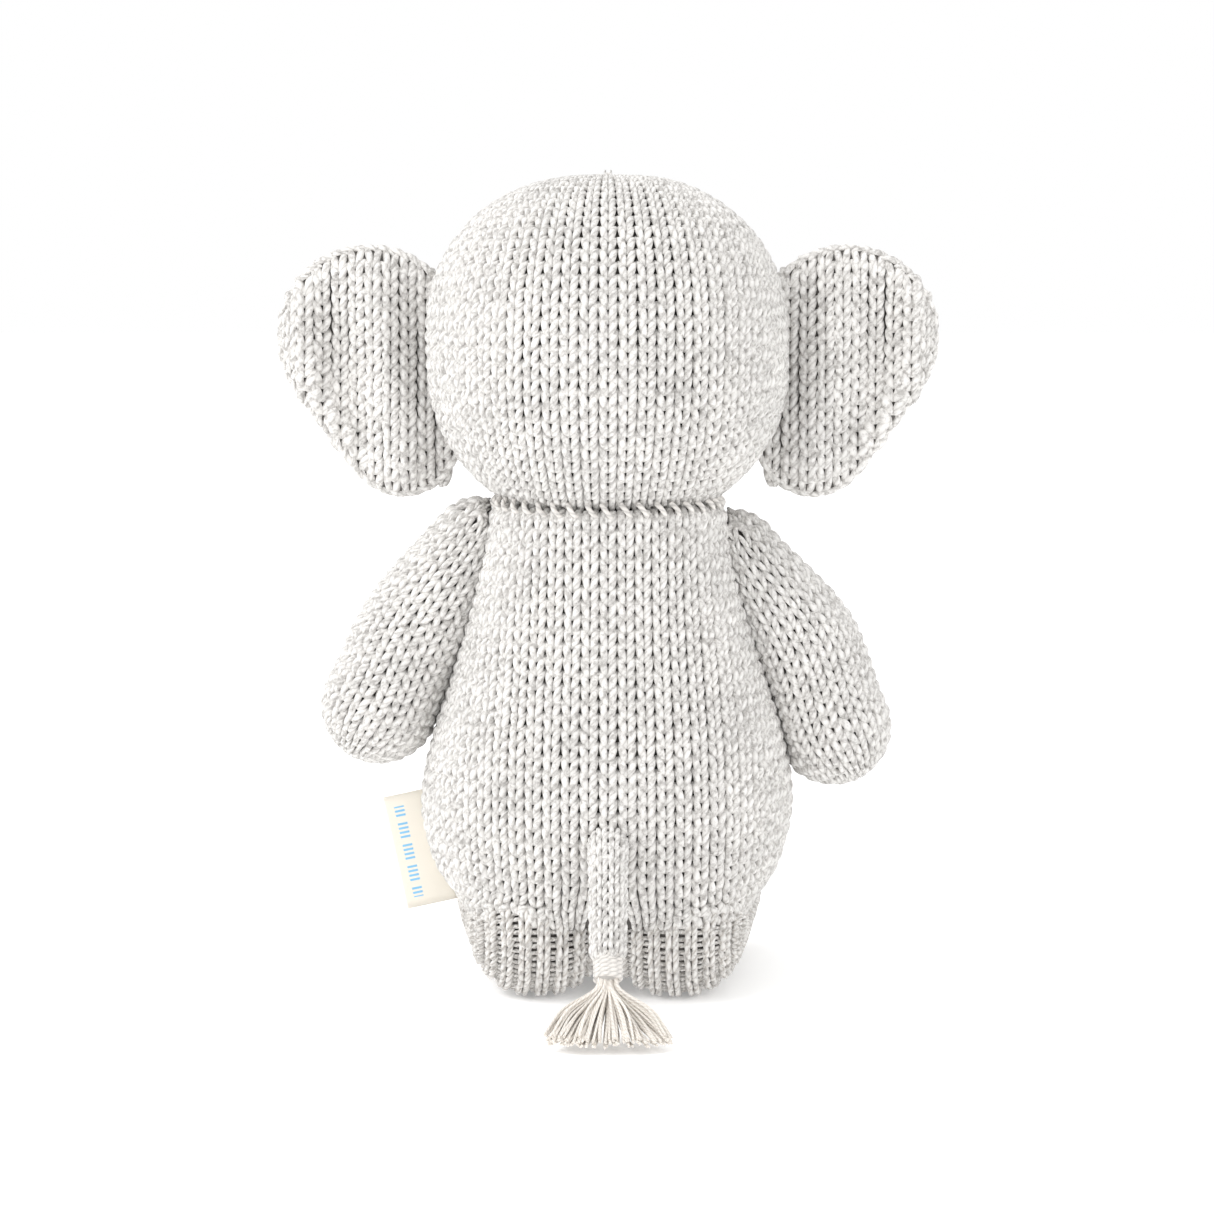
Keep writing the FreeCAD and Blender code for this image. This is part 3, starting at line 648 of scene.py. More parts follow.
    def grid_mesh(self, name: str, seed: int = 1) -> bpy.types.Mesh:
        """One face for each stitch, with its direction, its size and its tone as attributes.

        Args:
            name: The mesh's name.
            seed: Picks the tones.

        Returns:
            The mesh that the stitch tree reads.
        """
        low = (self.quads[:, 0] + self.quads[:, 1]) / 2
        high = (self.quads[:, 2] + self.quads[:, 3]) / 2
        left = (self.quads[:, 0] + self.quads[:, 3]) / 2
        right = (self.quads[:, 1] + self.quads[:, 2]) / 2
        up, across = high - low, right - left
        out = unit(np.cross(across, up))
        out *= np.sign((out * self.outward).sum(axis=1, keepdims=True))
        tall = np.linalg.norm(up, axis=1)
        wide = np.linalg.norm(across, axis=1)
        good = (tall > 0.8) & (wide > 1.0) & (tall < 7.0) & (wide < 9.0)
        quads = self.quads[good]
        mesh = plain_mesh(name, quads.reshape(-1, 3), np.arange(len(quads) * 4).reshape(-1, 4).tolist())
        rng = np.random.default_rng(seed)
        centre = quads.mean(axis=1)
        tone = np.clip(0.5 + 0.18 * lumps(centre, 26, seed) + rng.normal(0, 0.16, len(quads)), 0, 1)
        store(mesh, "stitch_out", "FLOAT_VECTOR", "FACE", out[good])
        store(mesh, "stitch_up", "FLOAT_VECTOR", "FACE", unit(up[good]))
        size = np.stack([wide[good] * MM, tall[good] * MM, np.full(good.sum(), MM)], axis=1)
        store(mesh, "stitch_size", "FLOAT_VECTOR", "FACE", size)
        store(mesh, "tone", "FLOAT", "FACE", tone)
        return mesh


@dataclass(frozen=True)
class StitchShape:
    """One knit stitch: two leaning legs of yarn in a room one wide and one tall, its yarn in millimetres."""

    foot: float = 0.10
    waist: float = 0.242
    head: float = 0.382
    overlap: float = 1.52
    plump: float = 0.222
    yarn: float = 1.3
    sink: float = 1.0
    rung: float = 0.0
    rings: int = 6
    sides: int = 6

    def mesh(self, name: str) -> bpy.types.Mesh:
        """Builds the stitch's mesh with its twist attribute."""
        points, faces, twist = [], [], []
        shares = np.linspace(0, 1, self.rings)
        angles = np.linspace(0, 2 * math.pi, self.sides, endpoint=False)
        for side in (-1.0, 1.0):
            start = len(points)
            for share in shares:
                swell = math.sin(math.pi * (0.08 + 0.84 * share)) ** 0.7
                x = side * float(np.interp(share, [0, 0.5, 1], [self.foot, self.waist, self.head]))
                y = (share - 0.5) * self.overlap
                depth = (0.75 if share < 0.5 else 1.4) * self.sink * self.yarn
                z = -depth * (1 - math.sin(math.pi * share)) ** 1.35
                for angle in angles:
                    points.append((
                        x + self.plump * (0.5 + 0.5 * swell) * math.cos(angle), y,
                        z + self.yarn * (0.45 + 0.55 * swell) * math.sin(angle),
                    ))
                    twist.append((math.sin(angle), math.cos(angle), share * 6.2))
            for share, turn in ((0.0, 1), (1.0, -1)):
                x = side * (self.foot if share == 0 else self.head)
                depth = (0.65 if share == 0 else 1.4) * self.sink * self.yarn
                points.append((x, (share - 0.5) * (self.overlap + 0.12), -depth))
                twist.append((0.0, 1.0, share * 6.2))
            for k in range(self.rings - 1):
                for j in range(self.sides):
                    a = start + k * self.sides + j
                    b = start + k * self.sides + (j + 1) % self.sides
                    faces.append((a, a + self.sides, b + self.sides, b))
            low = start + self.rings * self.sides
            top = start + (self.rings - 1) * self.sides
            for j in range(self.sides):
                faces.append((low, start + j, start + (j + 1) % self.sides))
                faces.append((low + 1, top + (j + 1) % self.sides, top + j))
        if self.rung > 0:
            # The strand that is stretched level between this column and the next.
            for level in (-0.12, 0.38):
                start = len(points)
                for x in (-0.56, 0.0, 0.56):
                    for angle in angles:
                        points.append((
                            x, level + self.rung / 4.2 * math.cos(angle),
                            -1.3 + 0.25 * abs(x) + self.rung * math.sin(angle),
                        ))
                        twist.append((math.sin(angle), math.cos(angle), x * 5.6))
                for k in range(2):
                    for j in range(self.sides):
                        a = start + k * self.sides + j
                        b = start + k * self.sides + (j + 1) % self.sides
                        faces.append((a, b, b + self.sides, a + self.sides))
                faces.append(tuple(start + j for j in range(self.sides - 1, -1, -1)))
                faces.append(tuple(start + 2 * self.sides + j for j in range(self.sides)))
        mesh = bpy.data.meshes.new(name)
        mesh.from_pydata(points, [], faces)
        mesh.shade_smooth()
        store(mesh, "twist", "FLOAT_VECTOR", "POINT", np.array(twist))
        mesh.update()
        return mesh


class NodeShop:
    """The geometry-node trees that lay stitches on a grid and spin yarn along lines."""

    def __init__(self) -> None:
        """Builds both trees."""
        self.stitch_tree = self._stitches()
        self.yarn_tree = self._yarn()

    @staticmethod
    def _group(
        name: str, sockets: list[tuple[str, str]]
    ) -> tuple[bpy.types.NodeTree, bpy.types.Node, bpy.types.Node]:
        """Starts a tree with named inputs and one geometry output."""
        tree = bpy.data.node_groups.new(name, "GeometryNodeTree")
        for label, kind in [("Geometry", "NodeSocketGeometry")] + sockets:
            tree.interface.new_socket(label, in_out="INPUT", socket_type=kind)
        tree.interface.new_socket("Geometry", in_out="OUTPUT", socket_type="NodeSocketGeometry")
        return tree, tree.nodes.new("NodeGroupInput"), tree.nodes.new("NodeGroupOutput")

    def _stitches(self) -> bpy.types.NodeTree:
        """A stitch on every face, turned and sized by the face's attributes."""
        tree, given, result = self._group("knit_stitches", [
            ("Stitch", "NodeSocketObject"), ("Yarn", "NodeSocketMaterial"), ("Unevenness", "NodeSocketFloat"),
            ("Seed", "NodeSocketInt"),
        ])

        def attribute(name: str, kind: str = "FLOAT_VECTOR") -> bpy.types.NodeSocket:
            """A named attribute of the mesh."""
            node = add_node(tree, "GeometryNodeInputNamedAttribute", {"data_type": kind}, Name=name)
            return node.outputs[0]

        spots = add_node(tree, "GeometryNodeMeshToPoints", {"mode": "FACES"}, Mesh=given.outputs["Geometry"])
        facing = add_node(
            tree, "FunctionNodeAxesToRotation", {"primary_axis": "Z", "secondary_axis": "Y"},
            Primary_Axis=attribute("stitch_out"), Secondary_Axis=attribute("stitch_up"),
        )
        uneven = given.outputs["Unevenness"]
        lean = add_node(
            tree, "FunctionNodeRandomValue", {"data_type": "FLOAT"}, Seed=given.outputs["Seed"],
            _2=add_node(tree, "ShaderNodeMath", {"operation": "MULTIPLY"}, _0=uneven, _1=-1.0).outputs[0],
            _3=uneven,
        )
        tip = add_node(tree, "FunctionNodeAxisAngleToRotation", Axis=(0.0, 0.0, 1.0), Angle=lean.outputs[1])
        turned = add_node(
            tree, "FunctionNodeRotateRotation", {"rotation_space": "LOCAL"},
            Rotation=facing.outputs[0], Rotate_By=tip.outputs[0],
        )
        more = add_node(tree, "ShaderNodeMath", {"operation": "ADD"}, _0=uneven, _1=1.0).outputs[0]
        less = add_node(tree, "ShaderNodeMath", {"operation": "SUBTRACT"}, _0=1.0, _1=uneven).outputs[0]
        swell = add_node(
            tree, "FunctionNodeRandomValue", {"data_type": "FLOAT"},
            _2=less, _3=more, _8=given.outputs["Seed"],
        )
        scale = add_node(
            tree, "ShaderNodeVectorMath", {"operation": "SCALE"},
            _0=attribute("stitch_size"), Scale=swell.outputs[1]
        )
        shape = add_node(
            tree, "GeometryNodeObjectInfo", {"transform_space": "ORIGINAL"}, Object=given.outputs["Stitch"]
        )
        laid = add_node(
            tree, "GeometryNodeInstanceOnPoints", Points=spots.outputs[0], Instance=shape.outputs["Geometry"],
            Rotation=turned.outputs[0], Scale=scale.outputs[0],
        )
        real = add_node(tree, "GeometryNodeRealizeInstances", Geometry=laid.outputs[0])
        dressed = add_node(
            tree, "GeometryNodeSetMaterial", Geometry=real.outputs[0], Material=given.outputs["Yarn"]
        )
        tree.links.new(dressed.outputs[0], result.inputs[0])
        return tree

    def _yarn(self) -> bpy.types.NodeTree:
        """A round yarn along every line of edges."""
        tree, given, result = self._group("spun_yarn", [
            ("Yarn", "NodeSocketMaterial"), ("Thickness", "NodeSocketFloat"), ("Sides", "NodeSocketInt"),
        ])
        line = add_node(tree, "GeometryNodeMeshToCurve", Mesh=given.outputs["Geometry"])
        where = add_node(tree, "GeometryNodeSplineParameter")
        marked = add_node(
            tree, "GeometryNodeStoreNamedAttribute", {"data_type": "FLOAT", "domain": "POINT"},
            Geometry=line.outputs[0], Name="along", Value=where.outputs["Length"],
        )
        circle = add_node(
            tree, "GeometryNodeCurvePrimitiveCircle", {"mode": "RADIUS"},
            Resolution=given.outputs["Sides"], Radius=given.outputs["Thickness"],
        )
        around = add_node(tree, "GeometryNodeSplineParameter")
        ringed = add_node(
            tree, "GeometryNodeStoreNamedAttribute", {"data_type": "FLOAT", "domain": "POINT"},
            Geometry=circle.outputs[0], Name="around", Value=around.outputs["Factor"],
        )
        swept = add_node(
            tree, "GeometryNodeCurveToMesh",
            Curve=marked.outputs[0], Profile_Curve=ringed.outputs[0], Fill_Caps=True
        )
        smooth = add_node(tree, "GeometryNodeSetShadeSmooth", Geometry=swept.outputs[0])
        read = {
            name: add_node(
                tree, "GeometryNodeInputNamedAttribute", {"data_type": "FLOAT"}, Name=name
            ).outputs[0]
            for name in ("along", "around")
        }
        angle = add_node(tree, "ShaderNodeMath", {"operation": "MULTIPLY"}, _0=read["around"], _1=2 * math.pi)
        packed = add_node(
            tree, "ShaderNodeCombineXYZ",
            X=add_node(tree, "ShaderNodeMath", {"operation": "SINE"}, _0=angle.outputs[0]).outputs[0],
            Y=add_node(tree, "ShaderNodeMath", {"operation": "COSINE"}, _0=angle.outputs[0]).outputs[0],
            Z=add_node(
                tree, "ShaderNodeMath", {"operation": "MULTIPLY"}, _0=read["along"], _1=1 / MM
            ).outputs[0],
        )
        twisted = add_node(
            tree, "GeometryNodeStoreNamedAttribute", {"data_type": "FLOAT_VECTOR", "domain": "POINT"},
            Geometry=smooth.outputs[0], Name="twist", Value=packed.outputs[0],
        )
        real = add_node(tree, "GeometryNodeRealizeInstances", Geometry=twisted.outputs[0])
        dressed = add_node(
            tree, "GeometryNodeSetMaterial", Geometry=real.outputs[0], Material=given.outputs["Yarn"]
        )
        tree.links.new(dressed.outputs[0], result.inputs[0])
        return tree

    @staticmethod
    def _run(
        tree: bpy.types.NodeTree, mesh: bpy.types.Mesh, name: str, inputs: dict[str, object]
    ) -> bpy.types.Mesh:
        """Runs a tree on a mesh and returns the plain mesh that comes out.

        Args:
            tree: The node tree.
            mesh: The mesh that it reads.
            name: The name of the result.
            inputs: Input names to values.

        Returns:
            A new mesh with no modifier left.
        """
        carrier = new_piece(f"{name}_carrier", mesh)
        modifier = carrier.modifiers.new("nodes", "NODES")
        modifier.node_group = tree
        for item in tree.interface.items_tree:
            if item.item_type == "SOCKET" and item.in_out == "INPUT" and item.name in inputs:
                modifier[item.identifier] = inputs[item.name]
        carrier.update_tag()
        bpy.context.view_layer.update()
        graph = bpy.context.evaluated_depsgraph_get()
        made = bpy.data.meshes.new_from_object(carrier.evaluated_get(graph), depsgraph=graph)
        made.name = name
        for extra in ("stitch_out", "stitch_up", "stitch_size", "along", "around", "radius"):
            layer = made.attributes.get(extra)
            if layer is not None:
                made.attributes.remove(layer)
        bpy.data.objects.remove(carrier)
        bpy.data.meshes.remove(mesh)
        return made

    def knit(
        self, name: str, grid: bpy.types.Mesh, shape: StitchShape, yarn: bpy.types.Material,
        uneven: float = 0.05, seed: int = 1,
    ) -> bpy.types.Mesh:
        """Lays stitches on a grid."""
        stitch = new_piece(f"{name}_stitch", shape.mesh(f"{name}_stitch"))
        made = self._run(
            self.stitch_tree, grid, name, {"Stitch": stitch, "Yarn": yarn, "Unevenness": uneven, "Seed": seed}
        )
        bpy.data.objects.remove(stitch)
        return made

    def spin(
        self, name: str, lines: list[np.ndarray], yarn: bpy.types.Material, radius: float, sides: int = 8,
        seed: int = 1,
    ) -> bpy.types.Mesh:
        """Spins a yarn along each line of millimetre points."""
        points = np.vstack(lines)
        edges, start = [], 0
        for line in lines:
            edges += [(start + k, start + k + 1) for k in range(len(line) - 1)]
            start += len(line)
        mesh = bpy.data.meshes.new(f"{name}_lines")
        mesh.from_pydata((points * MM).tolist(), edges, [])
        rng = np.random.default_rng(seed)
        tones = np.concatenate([np.full(len(line), rng.uniform(0.2, 0.9)) for line in lines])
        store(mesh, "tone", "FLOAT", "POINT", tones)
        return self._run(self.yarn_tree, mesh, name, {"Yarn": yarn, "Thickness": radius * MM, "Sides": sides})


# ---- the toy's sub-assemblies ----------------------------------------------------------------


class EarLayer(Enum):
    """The two knitted layers of an ear, by the side of its plane that each lies on."""

    BACK = 1.0
    FRONT = -1.0


@dataclass
class Workbench:
    """What every sub-assembly shares: the node trees and the finished materials."""

    shop: NodeShop
    cotton: bpy.types.Material
    # The cotton again with a darker groove colour: deeper painted shade between the plies, used on the legs.
    cotton_deeper_shade: bpy.types.Material
    # The dark lining inside every cover: painted shade between stitches.
    shade_lining: bpy.types.Material
    sewing: bpy.types.Material
    tassel: bpy.types.Material
    eye: bpy.types.Material
    tape: bpy.types.Material
    wale: float = 5.6
    row: float = 4.17


def capsule_stations(low: float, high: float, reach: float, steps: int = 14) -> np.ndarray:
    """Stations of a tapered capsule from its lower ball, at height 0, to its upper ball at height reach."""
    lean = math.asin((low - high) / reach)
    rows = []
    for angle in np.linspace(-math.pi / 2, lean, steps):
        rows.append((low * math.sin(angle), low * math.cos(angle)))
    for angle in np.linspace(lean, math.pi / 2, steps):
        rows.append((reach + high * math.sin(angle), high * math.cos(angle)))
    heights = np.array([row[0] for row in rows])
    widths = np.maximum([row[1] for row in rows], 0.0)
    return np.stack([heights, widths, widths, np.zeros(len(rows))], axis=1)


@dataclass
class Head:
    """The head: a nearly round stuffed ball, knitted as two panels and drawn in at the neck and the crown."""

    bench: Workbench
    height: float = 105.0
    corner: float = 45.0
    thickness: float = 1.7
    form: RoundForm = field(init=False)

    def __post_init__(self) -> None:
        """Reads the head's place from its CAD box."""
        low, high = box_mm("head_cover")
        half = (high[0] - low[0]) / 2 - self.thickness
        middle = np.array([0.0, (low[1] + high[1]) / 2, high[2] - self.height / 2])
        tall = self.height / 2 - self.thickness
        flat, rise = half - self.corner, tall - self.corner
        rows = [(-tall, r) for r in np.linspace(0, flat, 4)[:-1]]
        for angle in np.linspace(-math.pi / 2, 0, 18):
            rows.append((-rise + self.corner * math.sin(angle), flat + self.corner * math.cos(angle)))
        for angle in np.linspace(0, math.pi / 2, 18):
            rows.append((rise + self.corner * math.sin(angle), flat + self.corner * math.cos(angle)))
        rows += [(tall, r) for r in np.linspace(flat, 0, 4)[1:]]
        stations = np.array([(z, r, r, 0.0) for z, r in rows])
        self.form = RoundForm(stations, middle)

    def build(self) -> None:
        """Builds the head's knitting and lining, and hides the CAD cover, stuffing and crown yarn."""
        bench, form = self.bench, self.form
        start = form.at_height(-46.4)
        knit = Knit.panels(form, (start, form.span - 3.2), bench.wale, bench.row, 0.38)
        knit = knit.uneven(0.7, 60, 3).filled()
        cover = bench.shop.knit(
            "head_stitches", knit.grid_mesh("head_grid", seed=11), StitchShape(), bench.cotton, seed=11
        )
        points, faces = closed_tube(form, LINING_INSET, 40, 64)
        shade_lining = plain_mesh("head_lining", points, facing_out(points, faces), bench.shade_lining)
        piece = joined("head_knit", [cover, shade_lining])
        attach(piece, "head")
        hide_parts("head_cover", "head_stuffing", "crown_gather_yarn")
        LOG.info("head: %d faces", len(piece.data.polygons))


@dataclass
class Eyes:
    """Two round eyes of dark thread in satin stitch."""

    bench: Workbench
    half: float = 4.1
    threads: int = 9

    def build(self) -> None:
        """Builds both eyes over their CAD caps."""
        head_low, head_high = box_mm("head_cover")
        middle_y = (head_low[1] + head_high[1]) / 2
        head_half = (head_high[0] - head_low[0]) / 2
        for side, _ in SIDES:
            low, high = box_mm(f"{side}_eye")
            centre = (low + high) / 2
            angle = math.asin(np.clip(centre[0] / head_half, -1, 1))
            out = np.array([math.sin(angle), -math.cos(angle), 0.0])
            across = np.array([math.cos(angle), math.sin(angle), 0.0])
            base = np.array([0.0, middle_y, centre[2]]) + out * head_half
            lines = []
            for share in np.linspace(-0.9, 0.9, self.threads):
                tall = self.half * math.sqrt(1 - share**2)
                line = [
                    base + across * share * self.half + np.array([0, 0, 1.0]) * tall * math.sin(turn)
                    + out * (1.5 * math.cos(turn) * math.sqrt(1 - 0.6 * share**2) + 0.1)
                    for turn in np.linspace(-math.pi / 2, math.pi / 2, 9)
                ]
                lines.append(np.array(line))
            piece = new_piece(f"{side}_eye_thread", self.bench.shop.spin(
                f"{side}_eye_thread", lines, self.bench.eye, 0.62, 8, seed=5
            ))
            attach(piece, "head")
            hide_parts(f"{side}_eye")
        LOG.info("eyes: %d threads each", self.threads)


@dataclass
class Torso:
    """The pear-shaped body, knitted as a back and a front panel, hollowed underneath where the legs lie."""

    bench: Workbench
    sections: tuple[tuple[float, float, float], ...] = (
        (20.4, 0.5, 0.5), (20.6, 20.0, 16.0), (21.0, 35.0, 29.6), (22.2, 41.5, 35.0), (25.8, 46.0, 38.2),
        (34.0, 50.8, 41.4), (54.5, 56.0, 46.0), (75.0, 53.3, 44.0), (95.0, 46.8, 40.0), (115.0, 41.0, 36.2),
        (132.0, 36.8, 34.0), (142.0, 34.6, 33.0), (146.0, 31.8, 30.8), (146.8, 16.0, 15.5), (147.0, 0.5, 0.5),
    )
    leg_room: float = 20.9

    def __post_init__(self) -> None:
        """Reads the torso's place from its CAD box."""
        low, high = box_mm("torso_cover")
        axis_y = (low[1] + high[1]) / 2
        rows = rounded([(z, a, b, 0.0) for z, a, b in self.sections], 6)
        rows[:, 1:3] = np.maximum(rows[:, 1:3], 0.2)
        self.form = RoundForm(rows, np.array([0.0, axis_y, 0.0]))

    def settled_on_legs(self, points: np.ndarray, inset: float = 0.0) -> np.ndarray:
        """Lays the lower part of the torso snugly over the two legs, which leaves a cleft between them.

        Args:
            points: Points of the torso's surface.
            inset: How far inside the knitting the points belong.

        Returns:
            The points, none of them inside the room that the legs need.
        """
        out = points.copy()
        for side, sign in SIDES:
            hip = pivot_mm(f"{side}_leg_swing")
            heading = leg_heading(side)
            mine = np.where(sign > 0, points[:, 0] >= 0, points[:, 0] < 0)
            offset = points - hip
            along = np.clip(offset @ heading, 0.0, 64.0)
            radial = offset - along[:, None] * heading
            distance = np.linalg.norm(radial, axis=1)
            share = np.clip((38.0 - points[:, 2]) / 18.0, 0.0, 1.0)
            share = share * share * (3 - 2 * share)
            tuck = 1.6 * np.clip((26.5 - points[:, 2]) / 4.0, 0.0, 1.0)
            room = self.leg_room - inset - tuck
            wanted = np.maximum(room, distance + (room - distance) * share)
            wanted = np.where(share > 0, wanted, np.maximum(distance, room))
            away = radial / np.maximum(distance, 1e-3)[:, None]
            direction = np.where(distance[:, None] > 13.0, away, np.array([0.0, 0.0, 1.0]))
            placed = hip + along[:, None] * heading + direction * wanted[:, None]
            out[mine] = placed[mine]
        return out

    def build(self) -> None:
        """Builds the torso."""
        bench, form = self.bench, self.form
        span = (form.at_height(23.4), form.at_height(146.3))
        knit = Knit.panels(form, span, bench.wale, bench.row, 0.16)
        knit = knit.uneven(0.8, 70, 8).filled().moved(self.settled_on_legs)
        cover = bench.shop.knit(
            "torso_stitches", knit.grid_mesh("torso_grid", seed=23), StitchShape(), bench.cotton, seed=23
        )
        points, faces = closed_tube(form, LINING_INSET, 60, 72)
        points = self.settled_on_legs(points, 1.6)
        shade_lining = plain_mesh("torso_lining", points, facing_out(points, faces), bench.shade_lining)
        piece = joined("torso_knit", [cover, shade_lining])
        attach(piece, "torso")
        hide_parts("torso_cover", "torso_stuffing")
        LOG.info("torso: %d faces", len(piece.data.polygons))


def leg_heading(side: str) -> np.ndarray:
    """The level direction from a hip to its foot."""
    hip = pivot_mm(f"{side}_leg_swing")
    low, high = box_mm(f"{side}_sole_gather_yarn")
    foot = (low + high) / 2
    flat = foot - hip
    flat[2] = 0.0
    return unit(flat)


@dataclass
class Leg:
    """A leg that lies forwards: a tube with a flat gathered sole, and a ball at the hip."""

    bench: Workbench
    side: str
    sign: float
    radius: float = 20.2
    reach: float = 64.0
    sole: float = 12.0
    columns: int = 22
    floor: float = 0.35

    def build(self) -> None:
        """Builds the leg's knitting and lining."""
        bench = self.bench
        hip = pivot_mm(f"{self.side}_leg_swing")
        heading = leg_heading(self.side)
        down = np.array([0.0, 0.0, -1.0])
        across = np.cross(down, heading)
        step = 2 * math.pi / self.columns
        quads, outward = [], []

        def add(points: list[np.ndarray], middle: np.ndarray) -> None:
            """Adds one stitch's room, facing away from a middle point."""
            quad = np.array(points)
            quads.append(quad)
            outward.append(quad.mean(axis=0) - middle)

        # The ball at the hip: its rows run from the underside up the back, towards the torso.
        rows = 12
        tilts = np.linspace(math.pi / 2, -math.radians(60), rows + 1)

        def ball(lateral: float, tilt: float) -> np.ndarray:
            """A point of the ball at the hip."""
            upright = -math.cos(tilt) * heading + math.sin(tilt) * down
            return hip + self.radius * (math.sin(lateral) * across + math.cos(lateral) * upright)

        for j in range(-5, 6):
            a, b = (j - 0.5) * step, (j + 0.5) * step
            # The outermost columns close at the side of the hip, so they have fewer, taller rows.
            levels = tilts[::3] if abs(j) == 5 else tilts
            for low, high in zip(levels, levels[1:]):
                add([ball(a, low), ball(b, low), ball(b, high), ball(a, high)], hip)
        # The tube: its rows run from the foot back to the hip.
        def tube(angle: float, along: float, radius: float) -> np.ndarray:
            """A point of the tube."""
            return hip + along * heading + radius * (math.sin(angle) * across + math.cos(angle) * down)

        stations = [(0.0, self.radius)]
        steps = np.linspace(0, self.reach, round(self.reach / bench.row) + 1)[1:]
        stations += [(s, self.radius) for s in steps]
        last = math.asin(self.sole / self.radius)
        for angle in np.linspace(0, last, 4)[1:]:
            stations.append((self.reach + self.radius * math.sin(angle), self.radius * math.cos(angle)))
        rim = stations[-1][1]
        for share in (0.76, 0.52, 0.28, 0.06):
            stations.append((self.reach + self.sole + 0.5 * (1 - share), rim * share))
        for (near, wide), (far, thin) in zip(stations, stations[1:]):
            count = self.columns
            while math.pi * (wide + thin) / count < 0.6 * bench.wale and count > 4:
                count //= 2
            turn = 2 * math.pi / count
            middle = hip + min((near + far) / 2, self.reach) * heading
            for j in range(count):
                a, b = (j - 0.5) * turn, (j + 0.5) * turn
                corners = ((a, far, thin), (b, far, thin), (b, near, wide), (a, near, wide))
                add([tube(*corner) for corner in corners], middle)

        def on_floor(points: np.ndarray) -> np.ndarray:
            """Lifts points to the underside's height."""
            points = points.copy()
            points[:, 2] = np.maximum(points[:, 2], self.floor + 1.2)
            return points

        knit = Knit(np.array(quads), np.array(outward)).uneven(0.4, 40, 31).moved(on_floor)
        grid = knit.grid_mesh(f"{self.side}_leg_grid", seed=41)
        shape = StitchShape(foot=0.08, waist=0.17, head=0.24, plump=0.15, yarn=1.35, rung=0.62)
        # The legs' stitches take the cotton with deeper painted shade in its ply grooves.
        cover = bench.shop.knit(f"{self.side}_leg_stitches", grid, shape, bench.cotton_deeper_shade, seed=41)
        axes = np.stack([across, down, heading], axis=1)
        rows_ = capsule_stations(self.radius - 2.0, self.radius - 2.0001, self.reach, 12)
        rows_[:, 0] = np.minimum(rows_[:, 0], self.reach + self.sole - 2.0)
        rows_[-1] = (self.reach + self.sole - 2.0, 0.0, 0.0, 0.0)
        keep = np.concatenate([[True], np.diff(rows_[:, 0]) + np.abs(np.diff(rows_[:, 1])) > 1e-6])
        form = RoundForm(rows_[keep], hip, axes)
        points, faces = closed_tube(form, 0.0, 34, 36)
        points = on_floor(points)
        shade_lining = plain_mesh(f"{self.side}_leg_lining", points, facing_out(points, faces), bench.shade_lining)
        piece = joined(f"{self.side}_leg_knit", [cover, shade_lining])
        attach(piece, f"{self.side}_leg")
        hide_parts(f"{self.side}_leg_cover", f"{self.side}_leg_stuffing")
        LOG.info("%s leg: %d faces", self.side, len(piece.data.polygons))


@dataclass
class Arm:
    """An arm that hangs from the shoulder, narrow at the seam and full at the hand."""

    bench: Workbench
    torso: Torso
    side: str
    sign: float
    hand: float = 17.3
    shoulder: float = 12.0
    lean: float = 29.0
    reach: float = 58.0
    bulge: float = 2.2
    columns: int = 19
    gap: float = 1.0

    def clear_of_torso(self, points: np.ndarray) -> np.ndarray:
        """Pushes points sideways out of the torso."""
        form = self.torso.form
        out = points.copy()
        height = points[:, 2]
        wide = np.interp(height, form.stations[:, 0], form.stations[:, 1]) + self.gap
        deep = np.interp(height, form.stations[:, 0], form.stations[:, 2]) + self.gap
        wide = np.where(height > 140, 37.8, wide)
        deep = np.where(height > 140, 36.0, deep)
        side_on = (points[:, 1] - form.origin[1]) / deep
        edge = wide * np.sqrt(np.maximum(1 - side_on**2, 0.0))
        out[:, 0] = self.sign * np.maximum(self.sign * points[:, 0], edge)
        return out

    def build(self) -> None:
        """Builds the arm."""
        bench = self.bench
        top = pivot_mm(f"{self.side}_arm_swing")
        angle = math.radians(self.lean)
        up = np.array([-self.sign * math.sin(angle), 0.0, math.cos(angle)])
        back = np.array([0.0, 1.0, 0.0])
        axes = np.stack([np.cross(back, up), back, up], axis=1)
        ends = [(self.hand * math.sin(t), self.hand * math.cos(t)) for t in np.linspace(-math.pi / 2, 0, 10)]
        ends += [(self.reach * share, wide) for share, wide in ((0.25, 17.4), (0.5, 16.9), (0.75, 14.6))]
        for turn in np.linspace(0.25, math.pi / 2, 8):
            ends.append((self.reach - 1.8 + self.shoulder * math.sin(turn), self.shoulder * math.cos(turn)))
        stations = rounded([(height, max(wide, 0.0), max(wide, 0.0), 0.0) for height, wide in ends], 3)
        form = RoundForm(stations, top - up * self.reach, axes)

        def bulged(points: np.ndarray) -> np.ndarray:
            """Bows the arm outwards in its middle and keeps it off the torso."""
            share = np.clip((points - form.origin) @ up / self.reach, 0.0, 1.0)
            bowed = points + np.outer(self.bulge * np.sin(math.pi * share) ** 1.5, [self.sign, 0.0, 0.0])
            return self.clear_of_torso(bowed)

        knit = Knit.rounds(form, (0.8, form.span - 0.8), self.columns, bench.wale, bench.row)
        knit = knit.uneven(0.5, 45, 51).filled(cap=1.2).moved(bulged)
        grid = knit.grid_mesh(f"{self.side}_arm_grid", seed=61)
        cover = bench.shop.knit(f"{self.side}_arm_stitches", grid, StitchShape(), bench.cotton, seed=61)
        points, faces = closed_tube(form, LINING_INSET, 26, 32)
        points = bulged(points)
        shade_lining = plain_mesh(f"{self.side}_arm_lining", points, facing_out(points, faces), bench.shade_lining)
        piece = joined(f"{self.side}_arm_knit", [cover, shade_lining])
        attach(piece, f"{self.side}_arm")
        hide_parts(f"{self.side}_arm_cover", f"{self.side}_arm_stuffing")
        LOG.info("%s arm: %d faces", self.side, len(piece.data.polygons))


